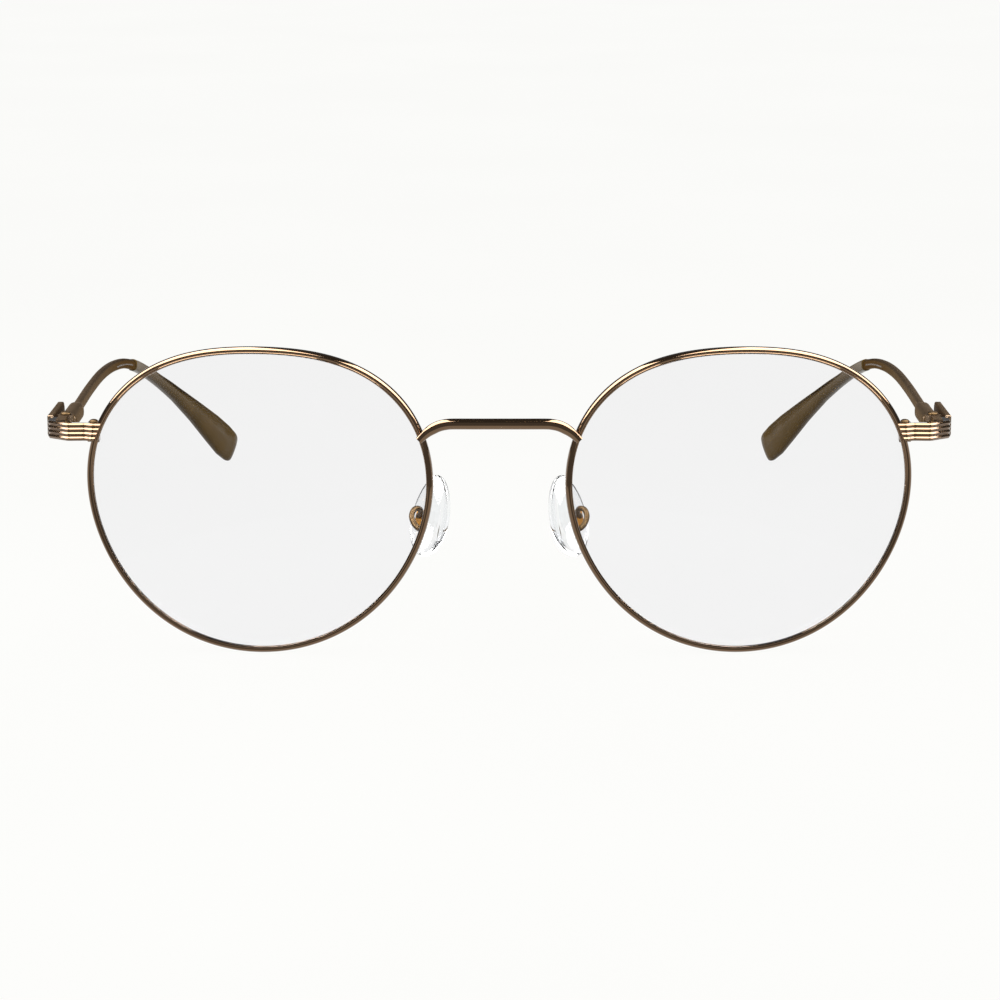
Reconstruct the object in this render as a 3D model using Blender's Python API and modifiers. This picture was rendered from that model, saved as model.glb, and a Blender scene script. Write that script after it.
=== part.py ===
"""Round wire eyeglasses with sprung hinges, standing open on a table.

Lengths below are millimetres and angles are degrees, turned to metres and radians as each
shape is made. The front faces -Y, the temples run back along +Y and +Z is up. Left and
right are the wearer's: left is +X. Every piece is drawn once, for the left side.
"""

import math

import bmesh
import bpy
from mathutils import Matrix, Vector

MM = 0.001
SIDES = (("left", 1), ("right", -1))
SOLDER = 0.05

# Whole frame
LEAN = 1.3
WRAP = 3.0
RIM_CENTRE_X = 35.85
RIM_CENTRE_Z = -0.66
FRONT_HEIGHT = 24.442
FRONT_Y = -64.87
TEMPLE_SLOPE = 4.0
TEMPLE_SPLAY = 2.5
HINGE_X = 66.0
HINGE_Y = 10.4
HINGE_Z = 9.15

# Eyewire and lens
RIM_STEPS = 48
RIM_THICK = 0.95
RIM_DEPTH = 1.6
RIM_ROUND = (20, 55, 90, 125, 160)
GROOVE_HALF = 0.42
GROOVE_DEPTH = 0.42
LENS_THICK = 1.5
LENS_RADIUS = 125.0
LENS_GAP = 0.07
SPLIT_Z = 9.5
SPLIT_GAP = 0.24

# Rim lock
BLOCK_X = (59.95, 61.95)
BLOCK_Y = (4.2, 5.7)
BLOCK_TOP = 10.75
BLOCK_BOTTOM = 7.9
LOCK_SCREW_X = 61.0
LOCK_SCREW_Y = 4.95
LOCK_SCREW_RADIUS = 0.4
LOCK_HEAD_RADIUS = 0.68
LOCK_HEAD_HEIGHT = 0.4

# Endpiece, measured from the hinge axis
ENDPIECE_THICK = 1.2
ENDPIECE_HEIGHT = 2.7
ENDPIECE_RIBS = 4
ENDPIECE_RELIEF = 0.16
ENDPIECE_FRONT_Y = -7.5
ENDPIECE_SIDE_X = 1.65
ENDPIECE_INNER_X = -5.7
ENDPIECE_CORNER = 2.2
BUTT_Y = -1.4

# Hinge
KNUCKLE_RADIUS = 1.3
KNUCKLE_TOP = 1.45
MIDDLE_HALF = 0.48
KNUCKLE_GAP = 0.06
HINGE_SCREW_RADIUS = 0.42
HINGE_HEAD_RADIUS = 0.85
HINGE_HEAD_HEIGHT = 0.4
BUSH_INNER = 0.47
BUSH_OUTER = 0.7
LEAF_X = (-0.4, 1.0)
LEAF_FRONT_Y = -5.2

# Spring box
BOX_FRONT_Y = 1.5
BOX_BODY_END_Y = 13.6
BOX_END_Y = 17.4
BOX_THICK = 2.5
BOX_HEIGHT = 2.8
BOX_CENTRE_X = -0.1
BORE_RADIUS = 0.95
BORE_END_Y = 13.0
COLLAR_LENGTH = 1.4
ROD_RADIUS = 0.4
ROD_END_Y = 9.9
NUT_RADIUS = 0.8
NUT_LENGTH = 1.1
SPRING_TURNS = 6
SPRING_WIRE = 0.13
SPRING_RADIUS = 0.66

# Side plaque
PLAQUE_X = (1.75, 2.7)
PLAQUE_START_Y = -1.3
PLAQUE_END_Y = 15.0
PLAQUE_HEIGHT = 3.1

# Temple wire and tip
WIRE_THICK = 1.4
WIRE_HEIGHT = 1.8
CORE_THICK = 0.9
CORE_HEIGHT = 1.2
WIRE_START_Y = BOX_END_Y + SOLDER
TIP_GAP = 0.1
TIP_WALL = 0.06
TEMPLE_ROUTE = (
    (0.0, 0.0, 0.0),
    (0.1, 20.0, 0.0),
    (0.25, 40.0, 0.0),
    (0.0, 58.0, 0.0),
    (-0.8, 72.0, -0.35),
    (-2.2, 82.0, -1.2),
    (-4.2, 91.0, -3.4),
    (-7.4, 100.0, -7.6),
    (-11.2, 108.0, -12.8),
    (-15.2, 115.0, -18.2),
    (-19.2, 121.5, -23.6),
)
ROUTE_STEPS = 96
TIP_START = 0.655
CORE_END = 0.90
# share of the route, thickness, height, rise above the route
TIP_SECTIONS = (
    (0.655, 1.75, 2.15, 0.0),
    (0.70, 1.8, 2.15, 0.0),
    (0.76, 2.0, 2.3, 0.1),
    (0.82, 2.3, 2.9, 0.3),
    (0.88, 2.5, 4.2, 0.35),
    (0.93, 2.6, 5.6, 0.25),
    (0.965, 2.4, 6.3, 0.1),
    (0.985, 2.0, 6.0, 0.1),
    (1.0, 0.9, 4.4, 0.0),
)

# Bridge
BRIDGE_ROUTE = (
    (0.0, 11.98),
    (6.9, 11.98),
    (7.9, 11.9),
    (8.8, 11.7),
    (9.6, 11.36),
    (10.5, 10.8),
    (11.35, 10.05),
    (11.95, 9.45),
)
BRIDGE_DEPTH = 1.3
BRIDGE_HEIGHT = 1.65
BRIDGE_Y = -1.12

# Nose pad, measured from the middle of the pad
PAD_PLACE = (10.6, 9.6, -5.1)
PAD_SPLAY = 50.0
PAD_TILT = 18.0
PAD_WIDTH = 7.0
PAD_HEIGHT = 12.6
PAD_DOME = 1.7
PAD_BACK = 0.9
PAD_GAP = 0.05
PLATE_X = (-0.35, 0.2)
PLATE_WIDTH = 3.6
PLATE_HEIGHT = 7.4
STEM_WIDTH = 0.8
STEM_HEIGHT = 1.3
STEM_Z = -0.6
PIVOT_X = 1.85
STEM_END_X = 2.2
CUP_X = (1.25, 2.6)
CUP_WIDTH = 1.7
CUP_HEIGHT = 2.8
CUP_WALL = 0.35
PAD_SCREW_RADIUS = 0.26
PAD_SCREW_HEAD = 0.42
ARM_RADIUS = 0.46
ARM_ANGLE = 190.0
ARM_ROUTE = ((12.6, 3.0, -4.75), (13.0, 4.2, -4.5), (13.05, 5.5, -4.2), (12.7, 6.6, -4.0))

COLOURS = {
    "antique_gold": ((0.36, 0.24, 0.11, 1.0), 1.0, 0.28),
    "dark_gold": ((0.20, 0.13, 0.07, 1.0), 1.0, 0.38),
    "screw_gold": ((0.50, 0.34, 0.14, 1.0), 1.0, 0.30),
    "spring_steel": ((0.55, 0.55, 0.56, 1.0), 1.0, 0.30),
    "nylon": ((0.75, 0.74, 0.70, 1.0), 0.0, 0.5),
    "demo_lens": ((0.95, 0.95, 0.97, 0.2), 0.0, 0.02),
    "brown_acetate": ((0.15, 0.09, 0.04, 1.0), 0.0, 0.30),
    "clear_silicone": ((0.92, 0.93, 0.94, 0.35), 0.0, 0.12),
    "clear_insert": ((0.88, 0.90, 0.92, 0.4), 0.0, 0.08),
}


def clear_scene():
    for thing in list(bpy.data.objects):
        bpy.data.objects.remove(thing)


def make_materials():
    made = {}
    for name, (colour, metallic, roughness) in COLOURS.items():
        material = bpy.data.materials.new(name)
        material.use_nodes = True
        shader = material.node_tree.nodes["Principled BSDF"]
        shader.inputs["Base Color"].default_value = colour
        shader.inputs["Alpha"].default_value = colour[3]
        shader.inputs["Metallic"].default_value = metallic
        shader.inputs["Roughness"].default_value = roughness
        made[name] = material
    return made


def add_empty(name, parent, place, turn):
    empty = bpy.data.objects.new(name, None)
    empty.empty_display_size = 4 * MM
    empty.location = Vector(place) * MM
    empty.rotation_euler = [math.radians(angle) for angle in turn]
    empty.parent = parent
    parts.objects.link(empty)
    return empty


def add_frames():
    """The front, and for each side its rim, hinge and nose pad, as empties that carry the pieces."""
    front = add_empty("front_frame", None, (0, FRONT_Y, FRONT_HEIGHT), (LEAN, 0, 0))
    frames = {"front": {"left": front, "right": front}, "rim": {}, "hinge": {}, "pad": {}}
    wrap = math.radians(WRAP)
    hinge = front_to_world((HINGE_X, HINGE_Y, HINGE_Z))
    for side, sign in SIDES:
        place = (sign * RIM_CENTRE_X * math.cos(wrap), RIM_CENTRE_X * math.sin(wrap), RIM_CENTRE_Z)
        frames["rim"][side] = add_empty(side + "_rim_frame", front, place, (0, 0, sign * WRAP))
        place = (sign * hinge.x, hinge.y, hinge.z)
        turn = (-TEMPLE_SLOPE, 0, -sign * TEMPLE_SPLAY)
        frames["hinge"][side] = add_empty(side + "_hinge_axis", None, place, turn)
        place = (sign * PAD_PLACE[0], PAD_PLACE[1], PAD_PLACE[2])
        turn = (0, -sign * PAD_TILT, -sign * PAD_SPLAY)
        frames["pad"][side] = add_empty(side + "_pad_frame", front, place, turn)
    return frames


def front_to_world(point):
    """A point of the leaning front in world millimetres."""
    return Matrix.Rotation(math.radians(LEAN), 3, "X") @ Vector(point) + Vector((0, FRONT_Y, FRONT_HEIGHT))


def rim_to_front(point):
    wrap = math.radians(WRAP)
    middle = Vector((RIM_CENTRE_X * math.cos(wrap), RIM_CENTRE_X * math.sin(wrap), RIM_CENTRE_Z))
    return Matrix.Rotation(wrap, 3, "Z") @ Vector(point) + middle


# --- shape tools -------------------------------------------------------------------------


def scratch(mesh, name="scratch"):
    thing = bpy.data.objects.new(name, mesh)
    cutters.objects.link(thing)
    thing.hide_render = True
    thing.display_type = "WIRE"
    return thing


def settle(thing, weld=0.0):
    """The evaluated mesh of a scratch object, which is then removed."""
    graph = bpy.context.evaluated_depsgraph_get()
    mesh = bpy.data.meshes.new_from_object(thing.evaluated_get(graph))
    mesh.transform(thing.matrix_world)
    bpy.data.objects.remove(thing)
    if weld:
        shape = bmesh.new()
        shape.from_mesh(mesh)
        bmesh.ops.remove_doubles(shape, verts=shape.verts, dist=weld * MM)
        bmesh.ops.recalc_face_normals(shape, faces=shape.faces)
        shape.to_mesh(mesh)
        shape.free()
    return mesh


def combine(mesh, operation, *tools):
    """The mesh with each tool joined to it (UNION) or cut from it (DIFFERENCE)."""
    body = scratch(mesh)
    helpers = []
    for tool in tools:
        helper = scratch(tool)
        modifier = body.modifiers.new(operation.lower(), "BOOLEAN")
        modifier.operation = operation
        modifier.solver = "EXACT"
        modifier.object = helper
        helpers.append(helper)
    result = settle(body)
    for helper in helpers:
        bpy.data.objects.remove(helper)
    return result


def block(low, high, bevel=0.0):
    shape = bmesh.new()
    bmesh.ops.create_cube(shape, size=1.0)
    size = Vector(high) - Vector(low)
    middle = (Vector(high) + Vector(low)) / 2
    bmesh.ops.scale(shape, vec=size * MM, verts=shape.verts)
    bmesh.ops.translate(shape, vec=middle * MM, verts=shape.verts)
    if bevel:
        bmesh.ops.bevel(shape, geom=shape.edges[:], offset=bevel * MM, segments=2, affect="EDGES", profile=0.5)
    mesh = bpy.data.meshes.new("block")
    shape.to_mesh(mesh)
    shape.free()
    return mesh


def rod(radius, low, high, axis="Z", steps=16):
    """A cylinder between two heights on an axis through the origin."""
    shape = bmesh.new()
    bmesh.ops.create_cone(
        shape, cap_ends=True, segments=steps, radius1=radius * MM, radius2=radius * MM, depth=(high - low) * MM
    )
    bmesh.ops.translate(shape, vec=(0, 0, (high + low) / 2 * MM), verts=shape.verts)
    if axis == "Y":
        bmesh.ops.rotate(shape, cent=(0, 0, 0), matrix=Matrix.Rotation(math.radians(-90), 3, "X"), verts=shape.verts)
    mesh = bpy.data.meshes.new("rod")
    shape.to_mesh(mesh)
    shape.free()
    return mesh


def turned(profile, steps=16, axis="Z"):
    """A profile of (radius, height), from the top down its outer side, turned about an axis."""
    mesh = bpy.data.meshes.new("profile")
    points = [(radius * MM, 0, height * MM) for radius, height in profile]
    mesh.from_pydata(points, [(i, i + 1) for i in range(len(points) - 1)], [])
    thing = scratch(mesh)
    screw = thing.modifiers.new("turn", "SCREW")
    screw.steps = screw.render_steps = steps
    screw.use_merge_vertices = True
    screw.merge_threshold = 1e-6
    made = settle(thing, weld=0.001)
    if axis == "Y":
        made.transform(Matrix.Rotation(math.radians(-90), 4, "X"))
    return made


def outline_curve(name, points, cyclic):
    curve = bpy.data.curves.new(name, "CURVE")
    curve.dimensions = "2D"
    spline = curve.splines.new("POLY")
    spline.points.add(len(points) - 1)
    for target, point in zip(spline.points, points):
        target.co = (point[0] * MM, point[1] * MM, 0, 1)
        target.radius = point[2] if len(point) > 2 else 1.0
    spline.use_cyclic_u = cyclic
    return curve


def swept(route, section, cyclic):
    """A flat route in X and Z with a section of (across, depth) drawn along it.

    Across points outwards on a closed route that runs anticlockwise.
    """
    profile = scratch(outline_curve("section", [(-across, depth) for across, depth in section], True))
    path = outline_curve("route", route, cyclic)
    path.fill_mode = "NONE"
    path.bevel_mode = "OBJECT"
    path.bevel_object = profile
    path.use_fill_caps = not cyclic
    thing = scratch(path)
    thing.rotation_euler = (math.radians(90), 0, 0)
    bpy.context.view_layer.update()
    mesh = settle(thing, weld=0.001)
    bpy.data.objects.remove(profile)
    return mesh


def wire(points, radius, sides=2):
    """A round wire along points, with closed ends."""
    curve = bpy.data.curves.new("wire", "CURVE")
    curve.dimensions = "3D"
    spline = curve.splines.new("POLY")
    spline.points.add(len(points) - 1)
    for target, point in zip(spline.points, points):
        target.co = (*(Vector(point) * MM), 1)
    curve.bevel_depth = radius * MM
    curve.bevel_resolution = sides
    curve.use_fill_caps = True
    return settle(scratch(curve), weld=0.001)


def plate(points, low, high):
    """An outline in Y and Z, with a thickness from low to high along X."""
    curve = outline_curve("outline", points, True)
    curve.fill_mode = "BOTH"
    curve.extrude = (high - low) / 2 * MM
    mesh = settle(scratch(curve), weld=0.001)
    stand = Matrix(((0, 0, 1, (high + low) / 2 * MM), (1, 0, 0, 0), (0, 1, 0, 0), (0, 0, 0, 1)))
    mesh.transform(stand)
    return mesh


def loft(rings):
    """Rings of equal length skinned in turn, for bodies whose section changes along them."""
    shape = bmesh.new()
    rows = [[shape.verts.new(Vector(point) * MM) for point in ring] for ring in rings]
    count = len(rows[0])
    for first, second in zip(rows, rows[1:]):
        for i in range(count):
            j = (i + 1) % count
            shape.faces.new((first[i], first[j], second[j], second[i]))
    shape.faces.new(rows[0])
    shape.faces.new(rows[-1])
    bmesh.ops.recalc_face_normals(shape, faces=shape.faces)
    mesh = bpy.data.meshes.new("loft")
    shape.to_mesh(mesh)
    shape.free()
    return mesh


def oval(thick, height, steps=12, square=2.6):
    """A rounded section of (across, up), squarer than an ellipse."""
    points = []
    for i in range(steps):
        angle = 2 * math.pi * (i + 0.5) / steps
        c, s = math.cos(angle), math.sin(angle)
        x = math.copysign(abs(c) ** (2 / square), c) * thick / 2
        z = math.copysign(abs(s) ** (2 / square), s) * height / 2
        points.append((x, z))
    return points


def add_pair(name, mesh, frames, material):
    """The left piece and its mirror image, each riding on its side's empty."""
    for side, sign in SIDES:
        own = mesh.copy()
        if sign < 0:
            own.transform(Matrix.Scale(-1, 4, (1, 0, 0)))
            own.flip_normals()
        thing = add_piece(side + "_" + name, own, frames[side], material)
        thing["side"] = side


def add_piece(name, mesh, frame, material):
    mesh.name = name
    mesh.materials.clear()
    mesh.materials.append(materials[material])
    mesh.shade_smooth()
    mesh.set_sharp_from_angle(angle=math.radians(35))
    thing = bpy.data.objects.new(name, mesh)
    thing.parent = frame
    parts.objects.link(thing)
    return thing


# --- front -------------------------------------------------------------------------------


def rim_radius(angle):
    """Distance from the rim's middle to the eyewire's centreline; angle 0 is the temple side."""
    return (
        24.62
        + 0.22 * math.cos(angle)
        + 0.80 * math.sin(angle)
        + 1.07 * math.cos(2 * angle)
        - 0.09 * math.sin(2 * angle)
        - 0.05 * math.cos(3 * angle)
        + 0.855 * math.sin(3 * angle)
        - 0.25 * math.cos(4 * angle)
    )


def rim_outline(inset=0.0, steps=RIM_STEPS):
    """The eyewire's centreline moved inwards by inset, square to itself."""
    points = []
    for i in range(steps):
        angle = 2 * math.pi * i / steps
        ahead = rim_point(angle + 0.001) - rim_point(angle - 0.001)
        normal = Vector((ahead.y, -ahead.x)).normalized()
        points.append(tuple(rim_point(angle) - normal * inset))
    return points


def rim_point(angle):
    radius = rim_radius(angle)
    return Vector((radius * math.cos(angle), radius * math.sin(angle)))


def rim_section():
    """Half-round outside, with a V groove for the lens inside."""
    half, deep = RIM_THICK / 2, RIM_DEPTH / 2
    outer = [
        (half * math.sin(math.radians(a)), -deep * math.cos(math.radians(a)))
        for a in RIM_ROUND
    ]
    inner = [(-half, deep), (-half, GROOVE_HALF), (-half + GROOVE_DEPTH, 0), (-half, -GROOVE_HALF), (-half, -deep)]
    return outer + inner


def rim_envelope(gap):
    """The rim without its groove, larger by gap: what its neighbours are cut back to."""
    half, deep = RIM_THICK / 2 + gap, RIM_DEPTH / 2 + gap
    outer = [
        (half * math.sin(math.radians(a)), -deep * math.cos(math.radians(a)))
        for a in RIM_ROUND
    ]
    return swept(rim_outline(), outer + [(-half, deep), (-half, -deep)], True)


def rim_cutter():
    """The rim's envelope in the front's own axes."""
    mesh = rim_envelope(SOLDER)
    middle = rim_to_front((0, 0, 0))
    mesh.transform(Matrix.Translation(middle * MM) @ Matrix.Rotation(math.radians(WRAP), 4, "Z"))
    return mesh


def to_hinge_axes(mesh):
    """A mesh in the front's axes, moved to the hinge's."""
    front = Matrix.Translation(Vector((0, FRONT_Y, FRONT_HEIGHT)) * MM) @ Matrix.Rotation(math.radians(LEAN), 4, "X")
    place = front_to_world((HINGE_X, HINGE_Y, HINGE_Z))
    turn = Matrix.Rotation(math.radians(-TEMPLE_SPLAY), 4, "Z") @ Matrix.Rotation(math.radians(-TEMPLE_SLOPE), 4, "X")
    mesh.transform((Matrix.Translation(place * MM) @ turn).inverted() @ front)
    return mesh


def make_rims(frames):
    ring = swept(rim_outline(), rim_section(), True)
    low = SPLIT_Z - RIM_CENTRE_Z - SPLIT_GAP / 2
    saw = block((22.0, -2.0, low), (27.0, 2.0, low + SPLIT_GAP))
    add_pair("rim", combine(ring, "DIFFERENCE", saw), frames["rim"], "antique_gold")


def lens_sag(point):
    return (point[0] ** 2 + point[1] ** 2) / (2 * LENS_RADIUS)


def make_lenses(frames):
    half = RIM_THICK / 2
    edge = half + SOLDER
    apex = half - GROOVE_DEPTH + LENS_GAP
    bevel = GROOVE_HALF - LENS_GAP
    border = rim_outline(edge)
    rim_sag = sum(lens_sag(point) for point in border) / len(border)

    def ring(points, depth, share=1.0, curved=False):
        made = []
        for x, z in points:
            x, z = x * share, z * share
            lift = lens_sag((x, z)) - rim_sag if curved else 0.0
            made.append((x, depth + lift, z))
        return made

    front, back = -LENS_THICK / 2, LENS_THICK / 2
    shares = (0.08, 0.5, 1.0)
    rings = [ring(border, front, share, True) for share in shares]
    rings.append(ring(border, -bevel))
    rings.append(ring(rim_outline(apex), 0))
    rings.append(ring(border, bevel))
    rings += [ring(border, back, share, True) for share in reversed(shares)]
    add_pair("lens", loft(rings), frames["rim"], "demo_lens")


def make_rim_locks(frames):
    cutter = rim_cutter()
    hole = rod(LOCK_SCREW_RADIUS + SOLDER, BLOCK_BOTTOM - 1, BLOCK_TOP + 1)
    hole.transform(Matrix.Translation(Vector((LOCK_SCREW_X, LOCK_SCREW_Y, 0)) * MM))
    levels = {
        "rim_lock_upper": (SPLIT_Z + SPLIT_GAP / 2, BLOCK_TOP),
        "rim_lock_lower": (BLOCK_BOTTOM, SPLIT_Z - SPLIT_GAP / 2),
    }
    for name, (low, high) in levels.items():
        body = block((BLOCK_X[0], BLOCK_Y[0], low), (BLOCK_X[1], BLOCK_Y[1], high), bevel=0.12)
        add_pair(name, combine(body, "DIFFERENCE", cutter.copy(), hole.copy()), frames["front"], "antique_gold")
    seat = BLOCK_TOP + SOLDER
    top = seat + LOCK_HEAD_HEIGHT
    profile = (
        (0, top),
        (LOCK_HEAD_RADIUS * 0.6, top - 0.08),
        (LOCK_HEAD_RADIUS, top - 0.28),
        (LOCK_HEAD_RADIUS, seat),
        (LOCK_SCREW_RADIUS, seat),
        (LOCK_SCREW_RADIUS, BLOCK_BOTTOM + 0.1),
        (0, BLOCK_BOTTOM),
    )
    screw = turned(profile)
    screw.transform(Matrix.Translation(Vector((LOCK_SCREW_X, LOCK_SCREW_Y, 0)) * MM))
    add_pair("rim_lock_screw", screw, frames["front"], "screw_gold")


def make_bridge(frames):
    half = list(BRIDGE_ROUTE)
    route = [(-x, z) for x, z in reversed(half[1:])] + half
    shaped = []
    for x, z in route:
        shaped.append((x, z, 1.0 if abs(x) < 11.5 else 0.72))
    section = oval(BRIDGE_HEIGHT, BRIDGE_DEPTH, 12, 2.8)
    bar = swept(shaped, section, False)
    bar.transform(Matrix.Translation((0, BRIDGE_Y * MM, 0)))
    add_piece("bridge", bar, frames["front"]["left"], "antique_gold")


# --- hinge -------------------------------------------------------------------------------


def fluted_section():
    """Four rounded ribs on the outer face, a flat inner face: (outwards, up)."""
    half = ENDPIECE_THICK / 2
    pitch = ENDPIECE_HEIGHT / ENDPIECE_RIBS
    points = []
    for rib in range(ENDPIECE_RIBS):
        bottom = -ENDPIECE_HEIGHT / 2 + rib * pitch
        points.append((half - ENDPIECE_RELIEF, bottom + 0.03))
        points.append((half - 0.03, bottom + 0.25 * pitch))
        points.append((half, bottom + 0.5 * pitch))
        points.append((half - 0.03, bottom + 0.75 * pitch))
    points.append((half - ENDPIECE_RELIEF, ENDPIECE_HEIGHT / 2 - 0.03))
    points.append((-half, ENDPIECE_HEIGHT / 2))
    points.append((-half, -ENDPIECE_HEIGHT / 2))
    return points


def endpiece_route():
    """(x, y, outward normal) along the bar, from the rim, round the corner and back to the hinge."""
    stations = [(ENDPIECE_INNER_X, ENDPIECE_FRONT_Y, -90.0)]
    centre = (ENDPIECE_SIDE_X - ENDPIECE_CORNER, ENDPIECE_FRONT_Y + ENDPIECE_CORNER)
    for step in range(6):
        heading = -90.0 + 18.0 * step
        x = centre[0] + ENDPIECE_CORNER * math.cos(math.radians(heading))
        y = centre[1] + ENDPIECE_CORNER * math.sin(math.radians(heading))
        stations.append((x, y, heading))
    stations.append((ENDPIECE_SIDE_X, BUTT_Y, 0.0))
    return stations


def make_endpieces(frames):
    rings = []
    for number, (x, y, heading) in enumerate(endpiece_route()):
        out = Vector((math.cos(math.radians(heading)), math.sin(math.radians(heading)), 0))
        slant = 0.42 if number == 0 else 0.0
        rings.append([Vector((x - slant * up, y, up)) + out * across for across, up in fluted_section()])
    cutter = to_hinge_axes(rim_cutter())
    add_pair("endpiece", combine(loft(rings), "DIFFERENCE", cutter), frames["hinge"], "antique_gold")


def make_hinges(frames):
    axle = frames["hinge"]
    top = KNUCKLE_TOP
    leaf = block((LEAF_X[0], LEAF_FRONT_Y, -top), (LEAF_X[1], -0.6, top))
    leaf = combine(leaf, "UNION", rod(KNUCKLE_RADIUS, -top, top, steps=24))
    slot = MIDDLE_HALF + KNUCKLE_GAP
    slot_tool = rod(KNUCKLE_RADIUS + 0.12, -slot, slot, steps=24)
    hole = rod(HINGE_SCREW_RADIUS + SOLDER, -top - 1, top + 1)
    leaf = combine(leaf, "DIFFERENCE", slot_tool, hole)
    add_pair("hinge_front_leaf", leaf, axle, "dark_gold")

    head = top + SOLDER
    profile = (
        (0, head + HINGE_HEAD_HEIGHT),
        (HINGE_HEAD_RADIUS * 0.6, head + HINGE_HEAD_HEIGHT * 0.85),
        (HINGE_HEAD_RADIUS, head + HINGE_HEAD_HEIGHT * 0.35),
        (HINGE_HEAD_RADIUS, head),
        (HINGE_SCREW_RADIUS, head),
        (HINGE_SCREW_RADIUS, -top + 0.1),
        (0, -top),
    )
    add_pair("hinge_screw", turned(profile), axle, "screw_gold")

    bush = (
        (BUSH_INNER, MIDDLE_HALF),
        (BUSH_OUTER, MIDDLE_HALF),
        (BUSH_OUTER, -MIDDLE_HALF),
        (BUSH_INNER, -MIDDLE_HALF),
        (BUSH_INNER, MIDDLE_HALF),
    )
    add_pair("hinge_bush", turned(bush), axle, "nylon")


def make_sliders(frames):
    axle = frames["hinge"]
    shift = Matrix.Translation((BOX_CENTRE_X * MM, 0, 0))
    eye = rod(KNUCKLE_RADIUS, -MIDDLE_HALF, MIDDLE_HALF, steps=24)
    neck = rod(ROD_RADIUS, 0.5, ROD_END_Y, axis="Y", steps=12)
    neck.transform(shift)
    hole = rod(BUSH_OUTER + SOLDER, -1, 1)
    slider = combine(combine(eye, "UNION", neck), "DIFFERENCE", hole)
    add_pair("hinge_slider", slider, axle, "dark_gold")

    collar_end = BOX_FRONT_Y + COLLAR_LENGTH
    collar = (
        (ROD_RADIUS + 0.06, collar_end),
        (BORE_RADIUS - SOLDER, collar_end),
        (BORE_RADIUS - SOLDER, BOX_FRONT_Y),
        (ROD_RADIUS + 0.06, BOX_FRONT_Y),
        (ROD_RADIUS + 0.06, collar_end),
    )
    ring = turned(collar, axis="Y")
    ring.transform(shift)
    add_pair("spring_collar", ring, axle, "dark_gold")

    nut_start = ROD_END_Y - NUT_LENGTH - 0.1
    nut = (
        (ROD_RADIUS + SOLDER, nut_start + NUT_LENGTH),
        (NUT_RADIUS, nut_start + NUT_LENGTH),
        (NUT_RADIUS, nut_start),
        (ROD_RADIUS + SOLDER, nut_start),
        (ROD_RADIUS + SOLDER, nut_start + NUT_LENGTH),
    )
    cap = turned(nut, axis="Y")
    cap.transform(shift)
    add_pair("slider_nut", cap, axle, "screw_gold")

    low = collar_end + SPRING_WIRE + SOLDER
    high = nut_start - SPRING_WIRE - SOLDER
    coil = []
    per_turn = 9
    for i in range(SPRING_TURNS * per_turn + 1):
        angle = 2 * math.pi * i / per_turn
        along = low + (high - low) * i / (SPRING_TURNS * per_turn)
        coil.append((SPRING_RADIUS * math.cos(angle), along, SPRING_RADIUS * math.sin(angle)))
    spring = wire(coil, SPRING_WIRE, sides=1)
    spring.transform(shift)
    add_pair("coil_spring", spring, axle, "spring_steel")


def make_spring_boxes(frames):
    stations = (
        (BOX_FRONT_Y, BOX_THICK, BOX_HEIGHT, BOX_CENTRE_X),
        (BOX_BODY_END_Y, BOX_THICK, BOX_HEIGHT, BOX_CENTRE_X),
        (BOX_BODY_END_Y + 1.4, BOX_THICK - 0.35, BOX_HEIGHT - 0.3, BOX_CENTRE_X),
        (BOX_END_Y, WIRE_THICK + 0.1, WIRE_HEIGHT + 0.1, 0.0),
    )
    rings = []
    for y, thick, height, middle in stations:
        rings.append([(middle + x, y, z) for x, z in oval(thick, height, 20, 3.2)])
    body = loft(rings)
    boss = block((0.6, 2.4, -0.7), (PLAQUE_X[0] - SOLDER, 9.0, 0.7))
    body = combine(body, "UNION", boss)
    bore = rod(BORE_RADIUS, 0, BORE_END_Y, axis="Y", steps=16)
    bore.transform(Matrix.Translation((BOX_CENTRE_X * MM, 0, 0)))
    add_pair("spring_box", combine(body, "DIFFERENCE", bore), frames["hinge"], "dark_gold")

    half = PLAQUE_HEIGHT / 2
    centre = PLAQUE_END_Y - half
    outline = [(PLAQUE_START_Y, -half), (centre, -half)]
    for step in range(1, 8):
        angle = math.radians(-90 + 22.5 * step)
        outline.append((centre + half * math.cos(angle), half * math.sin(angle)))
    outline += [(centre, half), (PLAQUE_START_Y, half)]
    add_pair("side_plaque", plate(outline, *PLAQUE_X), frames["hinge"], "antique_gold")


# --- temples -----------------------------------------------------------------------------


def smooth_route(points, steps):
    """Points evenly spread on a Catmull-Rom curve through the route's own points."""
    dense = []
    padded = [points[0], *points, points[-1]]
    for i in range(len(points) - 1):
        a, b, c, d = (Vector(padded[i + k]) for k in range(4))
        for step in range(12):
            t = step / 12
            dense.append(
                0.5 * (2 * b + (c - a) * t + (2 * a - 5 * b + 4 * c - d) * t * t + (3 * b - a - 3 * c + d) * t * t * t)
            )
    dense.append(Vector(points[-1]))
    lengths = [0.0]
    for first, second in zip(dense, dense[1:]):
        lengths.append(lengths[-1] + (second - first).length)
    even = []
    k = 0
    for step in range(steps + 1):
        target = lengths[-1] * step / steps
        while k < len(lengths) - 2 and lengths[k + 1] < target:
            k += 1
        share = (target - lengths[k]) / (lengths[k + 1] - lengths[k])
        even.append(dense[k].lerp(dense[k + 1], share))
    return even


def route_frame(route, share):
    """Place, side and up directions at a share of the temple's route."""
    position = share * (len(route) - 1)
    k = min(int(position), len(route) - 2)
    place = route[k].lerp(route[k + 1], position - k)
    before, after = route[max(k - 1, 0)], route[min(k + 2, len(route) - 1)]
    ahead = (after - before).normalized()
    side = ahead.cross(Vector((0, 0, 1))).normalized()
    return place, side, side.cross(ahead)


def route_ring(route, share, section):
    place, side, up = route_frame(route, share)
    return [place + side * across + up * rise for across, rise in section]


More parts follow.
